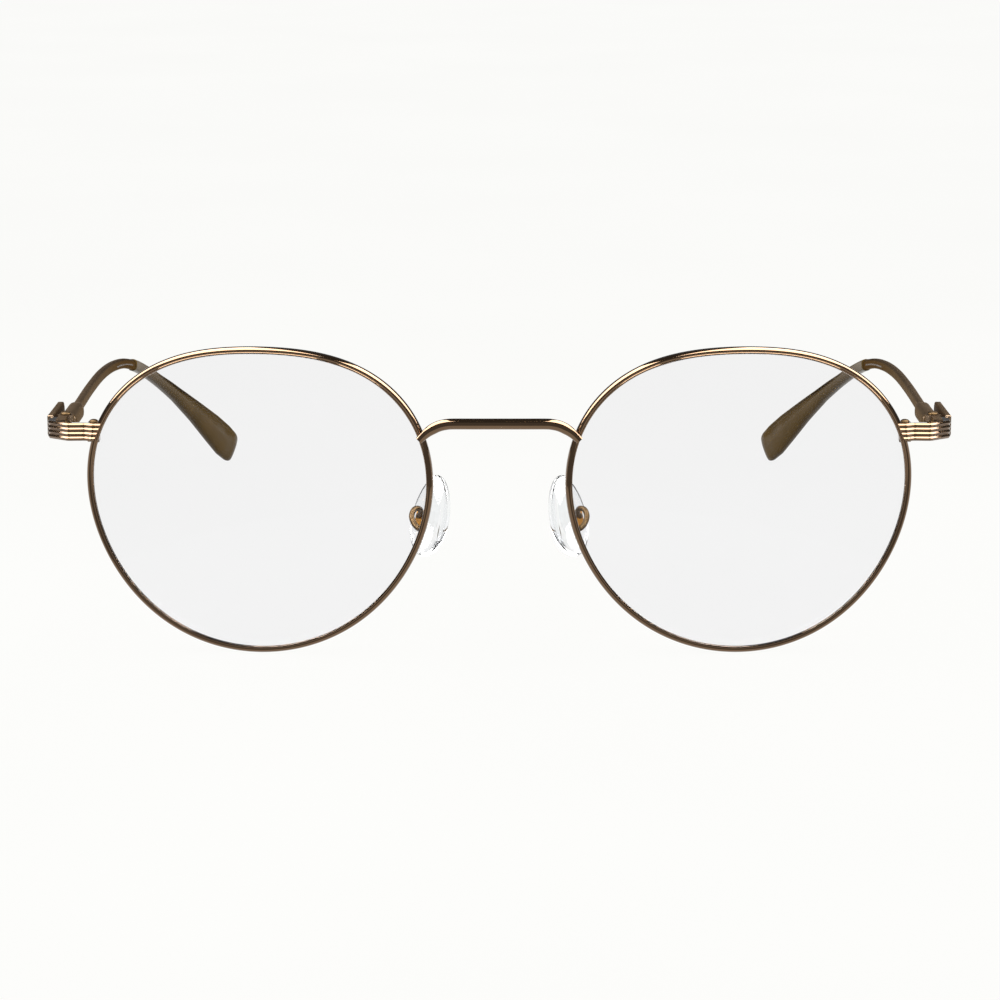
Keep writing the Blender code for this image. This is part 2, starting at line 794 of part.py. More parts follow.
def temple_shares(low, high, steps):
    return [low + (high - low) * step / steps for step in range(steps + 1)]


def make_temples(frames):
    route = smooth_route(TEMPLE_ROUTE, ROUTE_STEPS)
    length = sum((b - a).length for a, b in zip(route, route[1:]))
    start = WIRE_START_Y / length
    shoulder = TIP_START - TIP_GAP / length
    bar = oval(WIRE_THICK, WIRE_HEIGHT, 12, 3.0)
    core = oval(CORE_THICK, CORE_HEIGHT, 12, 2.4)
    shares = [start, 0.3, 0.44] + temple_shares(0.5, shoulder, 4)
    rings = [route_ring(route, share, bar) for share in shares]
    rings += [route_ring(route, share, core) for share in temple_shares(shoulder + 0.0002, CORE_END, 8)]
    add_pair("temple_wire", loft(rings), frames["hinge"], "antique_gold")

    outer = []
    for share, thick, height, rise in tip_sections():
        section = [(across, up + rise) for across, up in oval(thick, height, 16, 2.5)]
        outer.append(route_ring(route, share, section))
    room = oval(CORE_THICK + 2 * TIP_WALL, CORE_HEIGHT + 2 * TIP_WALL, 12, 2.4)
    inner = [route_ring(route, share, room) for share in temple_shares(TIP_START - 0.01, CORE_END + 0.004, 9)]
    tip = combine(loft(outer), "DIFFERENCE", loft(inner))
    add_pair("temple_tip", tip, frames["hinge"], "brown_acetate")


def tip_sections():
    """The tip's sections, with one more between each two."""
    made = []
    for first, second in zip(TIP_SECTIONS, TIP_SECTIONS[1:]):
        made.append(first)
        if second[0] < 0.97:
            made.append(tuple((a + b) / 2 for a, b in zip(first, second)))
    made.append(TIP_SECTIONS[-1])
    return made


# --- nose pads ---------------------------------------------------------------------------


def ellipse(width, height, steps, shift=0.0):
    points = []
    for i in range(steps):
        angle = 2 * math.pi * i / steps
        points.append((width / 2 * math.cos(angle), height / 2 * math.sin(angle) + shift))
    return points


def make_pads(frames):
    holder = frames["pad"]
    shape = bmesh.new()
    bmesh.ops.create_uvsphere(shape, u_segments=20, v_segments=12, radius=1.0)
    for vert in shape.verts:
        height = vert.co.z
        narrow = 1.0 - 0.12 * height
        depth = PAD_DOME if vert.co.x < 0 else PAD_BACK
        full = math.copysign(abs(vert.co.x) ** 0.8, vert.co.x)
        vert.co = Vector((full * depth, vert.co.y * PAD_WIDTH / 2 * narrow, height * PAD_HEIGHT / 2)) * MM
    pad = bpy.data.meshes.new("pad")
    shape.to_mesh(pad)
    shape.free()

    disc = plate(ellipse(PLATE_WIDTH, PLATE_HEIGHT, 16), *PLATE_X)
    half_w, half_h = STEM_WIDTH / 2, STEM_HEIGHT / 2
    stem = block((0, -half_w, STEM_Z - half_h), (STEM_END_X, half_w, STEM_Z + half_h))
    pivot = Matrix.Translation((PIVOT_X * MM, 0, STEM_Z * MM))
    pin_hole = rod(PAD_SCREW_RADIUS + 0.03, -2, 2, axis="Y", steps=12)
    pin_hole.transform(pivot)
    insert = combine(combine(disc, "UNION", stem), "DIFFERENCE", pin_hole)
    add_pair("pad_insert", insert, holder, "clear_insert")

    gap = PAD_GAP
    pocket = plate(ellipse(PLATE_WIDTH + 2 * gap, PLATE_HEIGHT + 2 * gap, 16), PLATE_X[0] - gap, PLATE_X[1] + gap)
    mouth = block((0, -half_w - gap, STEM_Z - half_h - gap), (3, half_w + gap, STEM_Z + half_h + gap))
    add_pair("nose_pad", combine(pad, "DIFFERENCE", combine(pocket, "UNION", mouth)), holder, "clear_silicone")

    half_w, half_h = CUP_WIDTH / 2, CUP_HEIGHT / 2
    cup = block((CUP_X[0], -half_w, STEM_Z - half_h), (CUP_X[1], half_w, STEM_Z + half_h), bevel=0.12)
    wide, tall = half_w - CUP_WALL, half_h - CUP_WALL
    inside = block((0, -wide, STEM_Z - tall), (CUP_X[1] - CUP_WALL, wide, STEM_Z + tall))
    add_pair("pad_box", combine(cup, "DIFFERENCE", inside, pin_hole.copy()), holder, "screw_gold")

    head = half_w + 0.02
    profile = (
        (0, head + 0.16),
        (PAD_SCREW_HEAD, head + 0.08),
        (PAD_SCREW_HEAD, head),
        (PAD_SCREW_RADIUS, head),
        (PAD_SCREW_RADIUS, -half_w),
        (0, -half_w),
    )
    screw = turned(profile, steps=12, axis="Y")
    screw.transform(pivot)
    add_pair("pad_screw", screw, holder, "screw_gold")


def make_pad_arms(frames):
    foot = rim_point(math.radians(ARM_ANGLE))
    start = rim_to_front((foot.x, RIM_DEPTH / 2 + SOLDER, foot.y))
    turn = Matrix.Rotation(math.radians(-PAD_SPLAY), 3, "Z") @ Matrix.Rotation(math.radians(-PAD_TILT), 3, "Y")
    end = Vector(PAD_PLACE) + turn @ Vector((CUP_X[1] + 0.35, 0, STEM_Z + 0.3))
    first = start + Vector((0.12, 0.45, 0))
    route = smooth_route([tuple(start), tuple(first), *ARM_ROUTE, tuple(end)], 18)
    arm = wire(route, ARM_RADIUS, sides=2)
    add_pair("pad_arm", arm, frames["front"], "antique_gold")


clear_scene()
parts = bpy.data.collections.new("eyeglasses")
cutters = bpy.data.collections.new("cutters")
bpy.context.scene.collection.children.link(parts)
bpy.context.scene.collection.children.link(cutters)
materials = make_materials()
all_frames = add_frames()
make_rims(all_frames)
make_lenses(all_frames)
make_rim_locks(all_frames)
make_bridge(all_frames)
make_endpieces(all_frames)
make_hinges(all_frames)
make_sliders(all_frames)
make_spring_boxes(all_frames)
make_temples(all_frames)
make_pads(all_frames)
make_pad_arms(all_frames)
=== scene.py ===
import math

import bmesh
import bpy
from mathutils import Matrix, Vector


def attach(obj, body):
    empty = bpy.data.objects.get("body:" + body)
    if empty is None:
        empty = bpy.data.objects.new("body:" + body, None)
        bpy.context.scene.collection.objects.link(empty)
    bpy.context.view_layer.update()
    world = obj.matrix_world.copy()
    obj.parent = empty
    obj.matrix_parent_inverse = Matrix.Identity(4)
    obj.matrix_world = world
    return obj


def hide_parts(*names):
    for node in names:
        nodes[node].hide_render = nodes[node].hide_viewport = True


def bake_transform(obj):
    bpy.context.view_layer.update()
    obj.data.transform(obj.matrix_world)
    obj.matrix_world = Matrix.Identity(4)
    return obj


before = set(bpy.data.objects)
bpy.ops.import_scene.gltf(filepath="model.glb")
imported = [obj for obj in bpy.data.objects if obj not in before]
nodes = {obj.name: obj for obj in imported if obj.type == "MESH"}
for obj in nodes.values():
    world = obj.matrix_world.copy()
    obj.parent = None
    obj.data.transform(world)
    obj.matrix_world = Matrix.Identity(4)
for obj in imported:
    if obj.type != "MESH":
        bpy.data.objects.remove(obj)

print("eyeglasses: frame loaded")
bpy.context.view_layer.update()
mm = 0.001

# places taken from the assembly: the leaning front, and on the wearer's left the rim, hinge and pad
lay = {
    "frontPlace": (0, -64.87, 24.442), "frontLean": 1.3, "wrap": 3.0,
    "rimCentre": (35.85, -0.66), "hingePlace": (66.0, 10.4, 9.15),
    "templeSlope": 4.0, "templeSplay": 2.5,
    "padPlace": (10.6, 9.6, -5.1), "padSplay": 50.0, "padTilt": 18.0,
}


def turn(degrees, axis):
    return Matrix.Rotation(math.radians(degrees), 4, axis)


def move(x, y, z):
    return Matrix.Translation((x * mm, y * mm, z * mm))


frontAt = move(*lay["frontPlace"]) @ turn(lay["frontLean"], "X")
rimSwing = math.radians(lay["wrap"])
rimAt = frontAt @ move(
    lay["rimCentre"][0] * math.cos(rimSwing), lay["rimCentre"][0] * math.sin(rimSwing), lay["rimCentre"][1]
) @ turn(lay["wrap"], "Z")
hingeSpot = frontAt @ (Vector(lay["hingePlace"]) * mm)
hingeAt = Matrix.Translation(hingeSpot) @ turn(-lay["templeSplay"], "Z") @ turn(-lay["templeSlope"], "X")
padAt = frontAt @ move(*lay["padPlace"]) @ turn(-lay["padSplay"], "Z") @ turn(-lay["padTilt"], "Y")


# node trees

def hexLinear(code):
    out = []
    for i in (0, 2, 4):
        value = int(code[i:i + 2], 16) / 255
        out.append(value / 12.92 if value <= 0.04045 else ((value + 0.055) / 1.055) ** 2.4)
    return (*out, 1.0)


def addNode(tree, kind, links=None, **settings):
    node = tree.nodes.new(kind)
    for name, value in settings.items():
        setattr(node, name, value)
    for key, value in (links or {}).items():
        socket = node.inputs[key]
        if isinstance(value, bpy.types.NodeSocket):
            tree.links.new(value, socket)
        else:
            socket.default_value = value
    return node


def startMaterial(name, base, **fixed):
    made = bpy.data.materials.new(name)
    made.use_nodes = True
    tree = made.node_tree
    shader = tree.nodes["Principled BSDF"]
    shader.inputs["Base Color"].default_value = hexLinear(base)
    for key, value in fixed.items():
        shader.inputs[key.replace("_", " ")].default_value = value
    made.diffuse_color = hexLinear(base)
    return made, tree, shader


def blendColours(tree, factor, first, second):
    mix = addNode(tree, "ShaderNodeMix", {0: factor}, data_type="RGBA")
    mix.inputs[6].default_value = hexLinear(first)
    mix.inputs[7].default_value = hexLinear(second)
    return mix.outputs[2]


def spread(tree, value, low, high):
    ranged = addNode(tree, "ShaderNodeMapRange", {"Value": value, "To Min": low, "To Max": high})
    return ranged.outputs["Result"]


# pattern scales count grains to the metre, here those of a plated tone and of its polish. Relief is in millimetres
metalFinish = {"drift": 90.0, "polish": 700.0, "reliefDepth": 0.02}


def plating(name, tone, shade, rough, grain, relief, **extra):
    # plated metal: its tone drifts slowly over a centimetre, its polish over a millimetre
    made, tree, shader = startMaterial(name, tone, Metallic=1.0, **extra)
    place = addNode(tree, "ShaderNodeTexCoord").outputs["Object"]
    drift = addNode(tree, "ShaderNodeTexNoise", {
        "Vector": place, "Scale": metalFinish["drift"], "Detail": 3.0})
    polish = addNode(tree, "ShaderNodeTexNoise", {
        "Vector": place, "Scale": metalFinish["polish"], "Detail": 2.0})
    specks = addNode(tree, "ShaderNodeTexNoise", {
        "Vector": place, "Scale": grain, "Detail": 2.0})
    tree.links.new(blendColours(tree, drift.outputs[0], tone, shade), shader.inputs["Base Color"])
    tree.links.new(spread(tree, polish.outputs[0], rough[0], rough[1]), shader.inputs["Roughness"])
    bump = addNode(tree, "ShaderNodeBump", {
        "Height": specks.outputs[0], "Strength": relief, "Distance": metalFinish["reliefDepth"] * mm})
    tree.links.new(bump.outputs[0], shader.inputs["Normal"])
    return made


# antique gold electroplate under a thin clear lacquer: dark bronze, its highlights paled by the lacquer
antiqueGold = plating("antiqueGoldPlate", "705539", "62492f", (0.05, 0.09), 4000.0, 0.01,
                      Coat_Weight=0.8, Coat_Roughness=0.04)
# the same plate on blasted parts: grey-brown and soft. The grit is near 0.05 mm and is drawn coarser, to show
satinBronze = plating("satinBronzePlate", "706050", "635444", (0.32, 0.42), 5200.0, 0.08,
                      Specular_Tint=hexLinear("a89883"))
# turned screw heads, plated with the frame but left as turned: dull brown gold
turnedBronze = plating("turnedScrewPlate", "4c3c28", "403220", (0.4, 0.5), 3000.0, 0.15)
# pad boxes, pressed and barrel plated: the one bright orange gold on the frame
brightGold = plating("pressedBoxPlate", "a87838", "96682e", (0.25, 0.35), 3000.0, 0.15)
# drawn spring wire, oiled: cool grey with fine die marks
springSteel = plating("drawnSpringWire", "9a9a98", "868482", (0.25, 0.35), 9000.0, 0.2)


def mouldedNylon():
    # injection moulded natural nylon: milky, slightly translucent, faint moulding grain
    made, tree, shader = startMaterial("mouldedNylon", "d9d4c8", IOR=1.53)
    place = addNode(tree, "ShaderNodeTexCoord").outputs["Object"]
    cloud = addNode(tree, "ShaderNodeTexNoise", {"Vector": place, "Scale": 1500.0, "Detail": 2.0})
    tree.links.new(blendColours(tree, cloud.outputs[0], "d9d4c8", "c9c2b2"), shader.inputs["Base Color"])
    tree.links.new(spread(tree, cloud.outputs[0], 0.38, 0.5), shader.inputs["Roughness"])
    return made


def polishedAcetate():
    # tumble-polished cellulose acetate: olive brown, with the sheet's soft streaks and a warm shine
    made, tree, shader = startMaterial("polishedAcetate", "3d2e14", IOR=1.48, Specular_IOR_Level=0.25,
                                       Specular_Tint=hexLinear("c8a468"))
    place = addNode(tree, "ShaderNodeTexCoord").outputs["Object"]
    along = addNode(tree, "ShaderNodeMapping", {"Vector": place, "Scale": (3.0, 0.8, 1.0)})
    streak = addNode(tree, "ShaderNodeTexNoise", {
        "Vector": along.outputs[0], "Scale": 160.0, "Detail": 4.0})
    hairs = addNode(tree, "ShaderNodeTexNoise", {"Vector": place, "Scale": 2500.0, "Detail": 2.0})
    tree.links.new(blendColours(tree, streak.outputs[0], "3d2e14", "2b2009"), shader.inputs["Base Color"])
    tree.links.new(spread(tree, streak.outputs[0], 0.2, 0.27), shader.inputs["Roughness"])
    bump = addNode(tree, "ShaderNodeBump", {
        "Height": hairs.outputs[0], "Strength": 0.1, "Distance": metalFinish["reliefDepth"] * mm})
    tree.links.new(bump.outputs[0], shader.inputs["Normal"])
    return made


def clearMoulding(name, tone, other, refraction, rough, **extra):
    # clear moulded part: water-clear body, polish that varies a little from the mould
    made, tree, shader = startMaterial(name, tone, IOR=refraction, Transmission_Weight=1.0, **extra)
    place = addNode(tree, "ShaderNodeTexCoord").outputs["Object"]
    haze = addNode(tree, "ShaderNodeTexNoise", {"Vector": place, "Scale": 250.0, "Detail": 2.0})
    tree.links.new(blendColours(tree, haze.outputs[0], tone, other), shader.inputs["Base Color"])
    tree.links.new(spread(tree, haze.outputs[0], rough[0], rough[1]), shader.inputs["Roughness"])
    return made


nylon = mouldedNylon()
acetate = polishedAcetate()
# moulded demonstration lens, dipped in an anti-reflection coat: all but invisible, takes a trace of cool grey
lensPlastic = clearMoulding("mouldedDemoLens", "f6f6f8", "f5f5f7", 1.5, (0.0, 0.01),
                            Specular_Tint=(0.12, 0.12, 0.14, 1))
# liquid silicone moulded in a polished tool: soft and clear, dark only where its edge bends the light
silicone = clearMoulding("clearSilicone", "fdfdfd", "f7f9fb", 1.41, (0.015, 0.04))
# hard insert, seen through the silicone round it: its index is what it has over silicone
hardInsert = clearMoulding("clearPolycarbonate", "fcfcfc", "f6f8fa", 1.03, (0.02, 0.05))
print("eyeglasses: materials made")


# shape tools

def addThing(name, data):
    thing = bpy.data.objects.new(name, data)
    bpy.context.scene.collection.objects.link(thing)
    return thing


def finishMesh(name, mesh, material, sharpness=35.0):
    mesh.name = name
    mesh.materials.clear()
    mesh.materials.append(material)
    mesh.shade_smooth()
    mesh.set_sharp_from_angle(angle=math.radians(sharpness))
    return addThing(name, mesh)


def tidyFaces(mesh):
    shape = bmesh.new()
    shape.from_mesh(mesh)
    bmesh.ops.recalc_face_normals(shape, faces=shape.faces)
    shape.to_mesh(mesh)
    shape.free()
    return mesh


def pairUp(piece, mesh, at, material, body, stands, sharpness=35.0):
    # made once for the left, mirrored for the right
    made = []
    for side in ("left", "right"):
        own = mesh.copy()
        own.transform(at)
        if side == "right":
            own.transform(Matrix.Scale(-1, 4, (1, 0, 0)))
        tidyFaces(own)
        thing = finishMesh(side + "_" + piece, own, material, sharpness)
        if body:
            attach(thing, body.replace("left", side))
        if stands:
            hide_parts(*[side + "_" + name for name in stands])
        made.append(thing)
    return made


def meshFrom(shape, name):
    mesh = bpy.data.meshes.new(name)
    shape.to_mesh(mesh)
    shape.free()
    return mesh


def skin(rings):
    shape = bmesh.new()
    rows = [[shape.verts.new(Vector(point) * mm) for point in ring] for ring in rings]
    count = len(rows[0])
    for first, second in zip(rows, rows[1:]):
        for i in range(count):
            j = (i + 1) % count
            shape.faces.new((first[i], first[j], second[j], second[i]))
    shape.faces.new(rows[0])
    shape.faces.new(rows[-1])
    bmesh.ops.recalc_face_normals(shape, faces=shape.faces)
    return meshFrom(shape, "skin")


def superOval(thick, height, steps, square):
    points = []
    for i in range(steps):
        angle = 2 * math.pi * (i + 0.5) / steps
        c, s = math.cos(angle), math.sin(angle)
        points.append((
            math.copysign(abs(c) ** (2 / square), c) * thick / 2,
            math.copysign(abs(s) ** (2 / square), s) * height / 2,
        ))
    return points


def softRoute(points, steps, fine=40):
    # evenly spaced points on a smooth curve through the given ones
    dense = []
    padded = [points[0], *points, points[-1]]
    for i in range(len(points) - 1):
        a, b, c, d = (Vector(padded[i + k]) for k in range(4))
        for step in range(fine):
            t = step / fine
            dense.append(0.5 * (
                2 * b + (c - a) * t + (2 * a - 5 * b + 4 * c - d) * t * t + (3 * b - a - 3 * c + d) * t ** 3
            ))
    dense.append(Vector(points[-1]))
    reach = [0.0]
    for first, second in zip(dense, dense[1:]):
        reach.append(reach[-1] + (second - first).length)
    even, k = [], 0
    for step in range(steps + 1):
        target = reach[-1] * step / steps
        while k < len(reach) - 2 and reach[k + 1] < target:
            k += 1
        even.append(dense[k].lerp(dense[k + 1], (target - reach[k]) / (reach[k + 1] - reach[k])))
    return even


def ease(value, low, high):
    t = min(max((value - low) / (high - low), 0.0), 1.0)
    return t * t * (3 - 2 * t)


def cutAway(mesh, tool, operation="DIFFERENCE"):
    first = addThing("work", mesh)
    second = addThing("tool", tool)
    modifier = first.modifiers.new("cut", "BOOLEAN")
    modifier.operation = operation
    modifier.solver = "EXACT"
    modifier.object = second
    bpy.context.view_layer.update()
    made = bpy.data.meshes.new_from_object(first.evaluated_get(bpy.context.evaluated_depsgraph_get()))
    bpy.data.objects.remove(first)
    bpy.data.objects.remove(second)
    return made


def softBox(low, high, bevel, segments=3):
    shape = bmesh.new()
    size = [b - a for a, b in zip(low, high)]
    middle = [(b + a) / 2 for a, b in zip(low, high)]
    grown = Matrix.Translation(Vector(middle) * mm) @ Matrix.Diagonal((*(Vector(size) * mm), 1))
    bmesh.ops.create_cube(shape, size=1.0, matrix=grown)
    bmesh.ops.bevel(
        shape, geom=shape.edges[:], offset=bevel * mm, segments=segments, profile=0.5, affect="EDGES")
    return meshFrom(shape, "box")


def barrel(radius, low, high, steps=48):
    # a plain cylinder along Y
    shape = bmesh.new()
    shift = turn(-90, "X") @ move(0, 0, (low + high) / 2)
    bmesh.ops.create_cone(
        shape, cap_ends=True, segments=steps, radius1=radius * mm, radius2=radius * mm,
        depth=(high - low) * mm, matrix=shift)
    return meshFrom(shape, "barrel")


# Geometry Nodes

def startTree(name, sizes):
    tree = bpy.data.node_groups.new(name, "GeometryNodeTree")
    tree.interface.new_socket("Geometry", in_out="INPUT", socket_type="NodeSocketGeometry")
    kinds = {float: "NodeSocketFloat", int: "NodeSocketInt"}
    for label, value in sizes.items():
        socket = tree.interface.new_socket(label, in_out="INPUT", socket_type=kinds[type(value)])
        socket.default_value = value
    tree.interface.new_socket("Material", in_out="INPUT", socket_type="NodeSocketMaterial")
    tree.interface.new_socket("Geometry", in_out="OUTPUT", socket_type="NodeSocketGeometry")
    return tree, addNode(tree, "NodeGroupInput").outputs


def endTree(tree, shape, given):
    smooth = addNode(tree, "GeometryNodeSetShadeSmooth", {"Geometry": shape})
    real = addNode(tree, "GeometryNodeRealizeInstances", {"Geometry": smooth.outputs[0]})
    finish = addNode(tree, "GeometryNodeSetMaterial", {
        "Geometry": real.outputs[0], "Material": given["Material"]})
    addNode(tree, "NodeGroupOutput", {"Geometry": finish.outputs[0]})


def calc(tree, operation, first, second=None, third=None):
    values = {i: value for i, value in enumerate((first, second, third)) if value is not None}
    return addNode(tree, "ShaderNodeMath", values, operation=operation).outputs[0]


def growTree(tree, sizes, base=None):
    # runs a tree once with these sizes and gives back a plain mesh
    carrier = addThing("carrier", base or bpy.data.meshes.new("carrier"))
    modifier = carrier.modifiers.new("grow", "NODES")
    modifier.node_group = tree
    idents = {s.name: s.identifier for s in tree.interface.items_tree if s.in_out == "INPUT"}
    for label, value in sizes.items():
        modifier[idents[label]] = value
    bpy.context.view_layer.update()
    made = bpy.data.meshes.new_from_object(carrier.evaluated_get(bpy.context.evaluated_depsgraph_get()))
    carrier.modifiers.remove(modifier)
    bpy.data.objects.remove(carrier)
    return made


# eyewire
eyewire = {
    "radius": 24.55, "thickness": 1.09, "depth": 1.6, "grooveHalf": 0.42, "grooveDepth": 0.42,
    "line": 0.07, "steps": 300, "sideSteps": 96, "splitHeight": 10.16, "splitAngle": 22.4, "splitGap": 0.06,
    # powers that square the section off, outside and inside; place and width of the line in half thicknesses
    "squareOut": 0.87, "squareIn": 0.57, "linePlace": 0.12, "lineWidth": 0.14,
    # how the outline leaves a circle: turns per round, cosine share, sine share
    "waves": ((1, 0.22, 0.80), (2, 1.07, -0.09), (3, -0.05, 0.855), (4, -0.25, 0.0)),
}


def eyewireRadius(angle):
    waves = [c * math.cos(n * angle) + s * math.sin(n * angle) for n, c, s in eyewire["waves"]]
    return eyewire["radius"] + sum(waves)


def eyewirePoint(angle):
    return Vector((eyewireRadius(angle) * math.cos(angle), eyewireRadius(angle) * math.sin(angle)))


def makeEyewireTree():
    tree, given = startTree("eyewireSweep", {
        "Radius": 0.0246, "Thickness": 0.00095, "Depth": 0.0016, "Groove Half": 0.0004, "Groove Depth": 0.0004,
        "Line": 0.0001, "Steps": 360, "Side Steps": 56, "Start": 0.4, "Sweep": 6.27,
    })
    arc = addNode(tree, "GeometryNodeCurveArc", {
        "Resolution": given["Steps"], "Radius": 1.0,
        "Start Angle": given["Start"], "Sweep Angle": given["Sweep"]}, mode="RADIUS")
    spot = addNode(tree, "ShaderNodeSeparateXYZ", {0: addNode(tree, "GeometryNodeInputPosition").outputs[0]})
    angle = calc(tree, "ARCTAN2", spot.outputs["Y"], spot.outputs["X"])
    radius = given["Radius"]
    for turns, cosShare, sinShare in eyewire["waves"]:
        times = calc(tree, "MULTIPLY", angle, float(turns))
        if cosShare:
            radius = calc(tree, "MULTIPLY_ADD", calc(tree, "COSINE", times), cosShare * mm, radius)
        if sinShare:
            radius = calc(tree, "MULTIPLY_ADD", calc(tree, "SINE", times), sinShare * mm, radius)
    outline = addNode(tree, "ShaderNodeVectorMath", {
        0: addNode(tree, "GeometryNodeInputPosition").outputs[0], 3: radius}, operation="SCALE")
    ring = addNode(tree, "GeometryNodeSetPosition", {
        "Geometry": arc.outputs["Curve"], "Position": outline.outputs[0]})
    level = addNode(tree, "GeometryNodeSetCurveNormal", {"Curve": ring.outputs[0]}, mode="Z_UP")

    # section: rounded outside, squarer inside, a fine line round the front and a V groove for the lens
    circle = addNode(tree, "GeometryNodeCurvePrimitiveCircle", {
        "Resolution": given["Side Steps"], "Radius": 1.0}, mode="RADIUS")
    side = addNode(tree, "ShaderNodeSeparateXYZ", {0: addNode(tree, "GeometryNodeInputPosition").outputs[0]})
    halfThick = calc(tree, "MULTIPLY", given["Thickness"], 0.5)
    halfDeep = calc(tree, "MULTIPLY", given["Depth"], 0.5)
    within = calc(tree, "LESS_THAN", side.outputs["X"], 0.0)
    squarer = eyewire["squareIn"] - eyewire["squareOut"]
    square = calc(tree, "MULTIPLY_ADD", within, squarer, eyewire["squareOut"])
    deepShare = calc(tree, "POWER", calc(tree, "ABSOLUTE", side.outputs["Y"]), square)
    wideShare = calc(tree, "POWER", calc(tree, "ABSOLUTE", side.outputs["X"]), square)
    besideLine = calc(tree, "ABSOLUTE", calc(tree, "ADD", side.outputs["X"], eyewire["linePlace"]))
    inLine = calc(tree, "SUBTRACT", 1.0, calc(tree, "DIVIDE", besideLine, eyewire["lineWidth"]))
    dip = calc(tree, "MULTIPLY", calc(tree, "MAXIMUM", inLine, 0.0), given["Line"])
    reach = calc(tree, "SUBTRACT", calc(tree, "MULTIPLY", deepShare, halfDeep), dip)
    height = calc(tree, "MULTIPLY", reach, calc(tree, "SIGN", side.outputs["Y"]))
    signed = calc(tree, "MULTIPLY", wideShare, calc(tree, "SIGN", side.outputs["X"]))
    flat = calc(tree, "MULTIPLY", signed, halfThick)
    fromGroove = calc(tree, "DIVIDE", calc(tree, "ABSOLUTE", height), given["Groove Half"])
    vee = calc(tree, "SUBTRACT", 1.0, fromGroove)
    cut = calc(tree, "MULTIPLY", calc(tree, "MAXIMUM", vee, 0.0), given["Groove Depth"])
    across = calc(tree, "MULTIPLY_ADD", cut, within, flat)
    section = addNode(tree, "ShaderNodeCombineXYZ", {"X": across, "Y": height})
    profile = addNode(tree, "GeometryNodeSetPosition", {
        "Geometry": circle.outputs[0], "Position": section.outputs[0]})
    body = addNode(tree, "GeometryNodeCurveToMesh", {
        "Curve": level.outputs[0], "Profile Curve": profile.outputs[0], "Fill Caps": True})
    endTree(tree, body.outputs[0], given)
    return tree


def makeEyewires():
    split = math.asin(eyewire["splitHeight"] / eyewireRadius(math.radians(eyewire["splitAngle"])))
    half = eyewire["splitGap"] / 2 / eyewireRadius(split)
    mesh = growTree(makeEyewireTree(), {
        "Radius": eyewire["radius"] * mm, "Thickness": eyewire["thickness"] * mm,
        "Depth": eyewire["depth"] * mm,
        "Groove Half": eyewire["grooveHalf"] * mm, "Groove Depth": eyewire["grooveDepth"] * mm,
        "Line": eyewire["line"] * mm,
        "Steps": eyewire["steps"], "Side Steps": eyewire["sideSteps"],
        "Start": split + half, "Sweep": 2 * math.pi - 2 * half, "Material": antiqueGold,
    })
    mesh.transform(turn(90, "X"))
    pairUp("eyewire", mesh, rimAt, antiqueGold, "front", ["rim"], 50)


makeEyewires()
print("eyeglasses: eyewires swept")

# lens
lens = {
    "thickness": 1.5, "curveRadius": 125.0, "bevel": 0.35, "edge": 0.4, "apex": 0.2, "steps": 240,
    "rings": 12,
}


def outlineIn(inset, steps):
    points = []
    for i in range(steps):
        angle = 2 * math.pi * i / steps
        ahead = eyewirePoint(angle + 0.001) - eyewirePoint(angle - 0.001)
        points.append(eyewirePoint(angle) - Vector((ahead.y, -ahead.x)).normalized() * inset)
    return points


def sag(x, z):
    return (x * x + z * z) / (2 * lens["curveRadius"])


def makeLenses():
    border = outlineIn(lens["edge"], lens["steps"])
    rimSag = sum(sag(*p) for p in border) / len(border)

    def ring(points, depth, share=1.0, curved=False):
        out = []
        for x, z in points:
            x, z = x * share, z * share
            out.append((x, depth + (sag(x, z) - rimSag if curved else 0.0), z))
        return out

    half = lens["thickness"] / 2
    shares = [0.02] + [i / lens["rings"] for i in range(1, lens["rings"])] + [0.985, 1.0]
    rings = [ring(border, -half, share, True) for share in shares]
    rings.append(ring(border, -lens["bevel"]))
    rings.append(ring(outlineIn(lens["apex"], lens["steps"]), 0.0))
    rings.append(ring(border, lens["bevel"]))
    rings += [ring(border, half, share, True) for share in reversed(shares)]
    made = pairUp("lens_blank", skin(rings), rimAt, lensPlastic, "front", ["lens"], 25)
    for thing in made:
        thing.visible_shadow = False  # clear plastic: leaves no shade on the floor


makeLenses()
print("eyeglasses: lenses cut")

# bridge
bridge = {
    "route": ((0, 11.98), (3.5, 11.98), (6.9, 11.98), (7.9, 11.9), (8.8, 11.7), (9.6, 11.36), (10.5, 10.8),
              (11.35, 10.05), (11.95, 9.45)),
    "height": 1.65, "depth": 1.3, "back": -1.12, "square": 2.1, "steps": 160, "ringSteps": 64,
    # each end thins by this share where it sinks into the eyewire
    "thinning": 0.28, "thinFrom": 9.6, "thinTo": 11.95,
}


def makeBridge():
    half = [Vector((x, bridge["back"], z)) for x, z in bridge["route"]]
    full = [Vector((-p.x, p.y, p.z)) for p in reversed(half[1:])] + half
    route = softRoute([tuple(p) for p in full], bridge["steps"])
    rings = []
    for i, spot in enumerate(route):
        ahead = (route[min(i + 1, bridge["steps"])] - route[max(i - 1, 0)]).normalized()
        rise = ahead.cross(Vector((0, 1, 0))).normalized() * -1
        near = 1.0 - bridge["thinning"] * ease(abs(spot.x), bridge["thinFrom"], bridge["thinTo"])
        ring = []
        for deep, up in superOval(bridge["depth"], bridge["height"], bridge["ringSteps"], bridge["square"]):
            ring.append(spot + Vector((0, 1, 0)) * deep * near + rise * up * near)
        rings.append(ring)
    mesh = skin(rings)
    mesh.transform(frontAt)
    thing = finishMesh("bridge_bar", tidyFaces(mesh), antiqueGold, 60)
    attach(thing, "front")
    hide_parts("bridge")


makeBridge()
print("eyeglasses: bridge bent")

